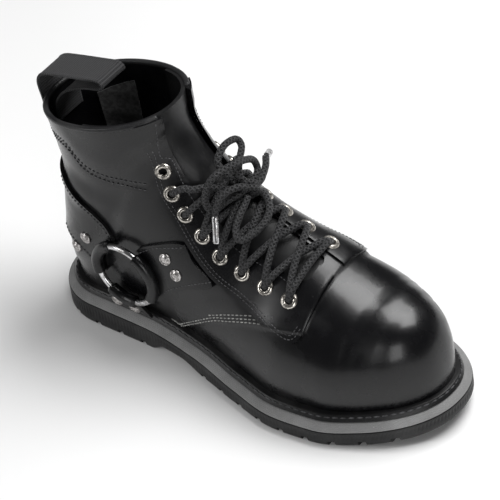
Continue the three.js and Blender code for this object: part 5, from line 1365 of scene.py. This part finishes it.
# %% Floor
half = 3.0
grid = np.array([(-half, -half, 0), (half, -half, 0), (half, half, 0), (-half, half, 0)]) / MM
floor = piece("floor", grid, [[0, 1, 2, 3]])
ground, tree, shader, where = finish("floor_paper", (0.83, 0.83, 0.83), 0.75)
floor.data.materials.append(ground)

# %% Light
WORLD_STRENGTH, LAMP_AIM = 0.07, Vector((0.11, 0, 0.08))
world = bpy.data.worlds.new("studio")
world.use_nodes = True
world.node_tree.nodes["Background"].inputs["Color"].default_value = (1, 1, 1, 1)
world.node_tree.nodes["Background"].inputs["Strength"].default_value = WORLD_STRENGTH
bpy.context.scene.world = world
# Each lamp: name, place, width, height, watts, and whether glossy rays see it.
LAMPS = [("fill", (0.11, 0.0, 2.0), 2.6, 2.6, 8, False), ("window", (0.36, 0.46, 1.15), 0.90, 0.66, 19, True),
         ("side", (-0.75, -1.05, 0.75), 0.30, 0.85, 6, True),
         ("front", (0.95, -0.75, 0.50), 0.35, 0.6, 3, True)]
for name, spot, wide, tall, power, seen in LAMPS:
    data = bpy.data.lights.new(name, "AREA")
    data.shape, data.size, data.size_y, data.energy = "RECTANGLE", wide, tall, power
    lamp = bpy.data.objects.new(name, data)
    bpy.context.scene.collection.objects.link(lamp)
    lamp.location = spot
    lamp.visible_glossy = seen
    lamp.rotation_euler = (LAMP_AIM - Vector(spot)).to_track_quat("-Z", "Y").to_euler()

# %% Camera
AZIMUTH, ELEVATION, ROLL = (math.radians(v) for v in (42.6, 43.1, -9.0))
DISTANCE, LENS, SENSOR = 1.642, 188.0, 36.0
LOOK_FROM_CENTRE = Vector((0.110, 0.0, 0.060))
AIM = Vector((0.1105, 0.0, 0.0835))
level = math.cos(ELEVATION)
back = Vector((math.sin(AZIMUTH) * level, -math.cos(AZIMUTH) * level, math.sin(ELEVATION)))
eye = LOOK_FROM_CENTRE + back * DISTANCE
view = (eye - AIM).normalized()
right = Vector((math.cos(AZIMUTH), math.sin(AZIMUTH), 0))
right = (right - view * right.dot(view)).normalized()
up = view.cross(right)
side = right * math.cos(ROLL) + up * math.sin(ROLL)
top = up * math.cos(ROLL) - right * math.sin(ROLL)
camera = bpy.data.objects.new("camera", bpy.data.cameras.new("camera"))
camera.data.lens, camera.data.sensor_width = LENS, SENSOR
camera.matrix_world = Matrix.Translation(eye) @ Matrix((side, top, view)).transposed().to_4x4()
bpy.context.scene.collection.objects.link(camera)
bpy.context.scene.camera = camera
bpy.context.scene.view_settings.view_transform = "Standard"
print("camera at", tuple(round(v, 3) for v in eye))
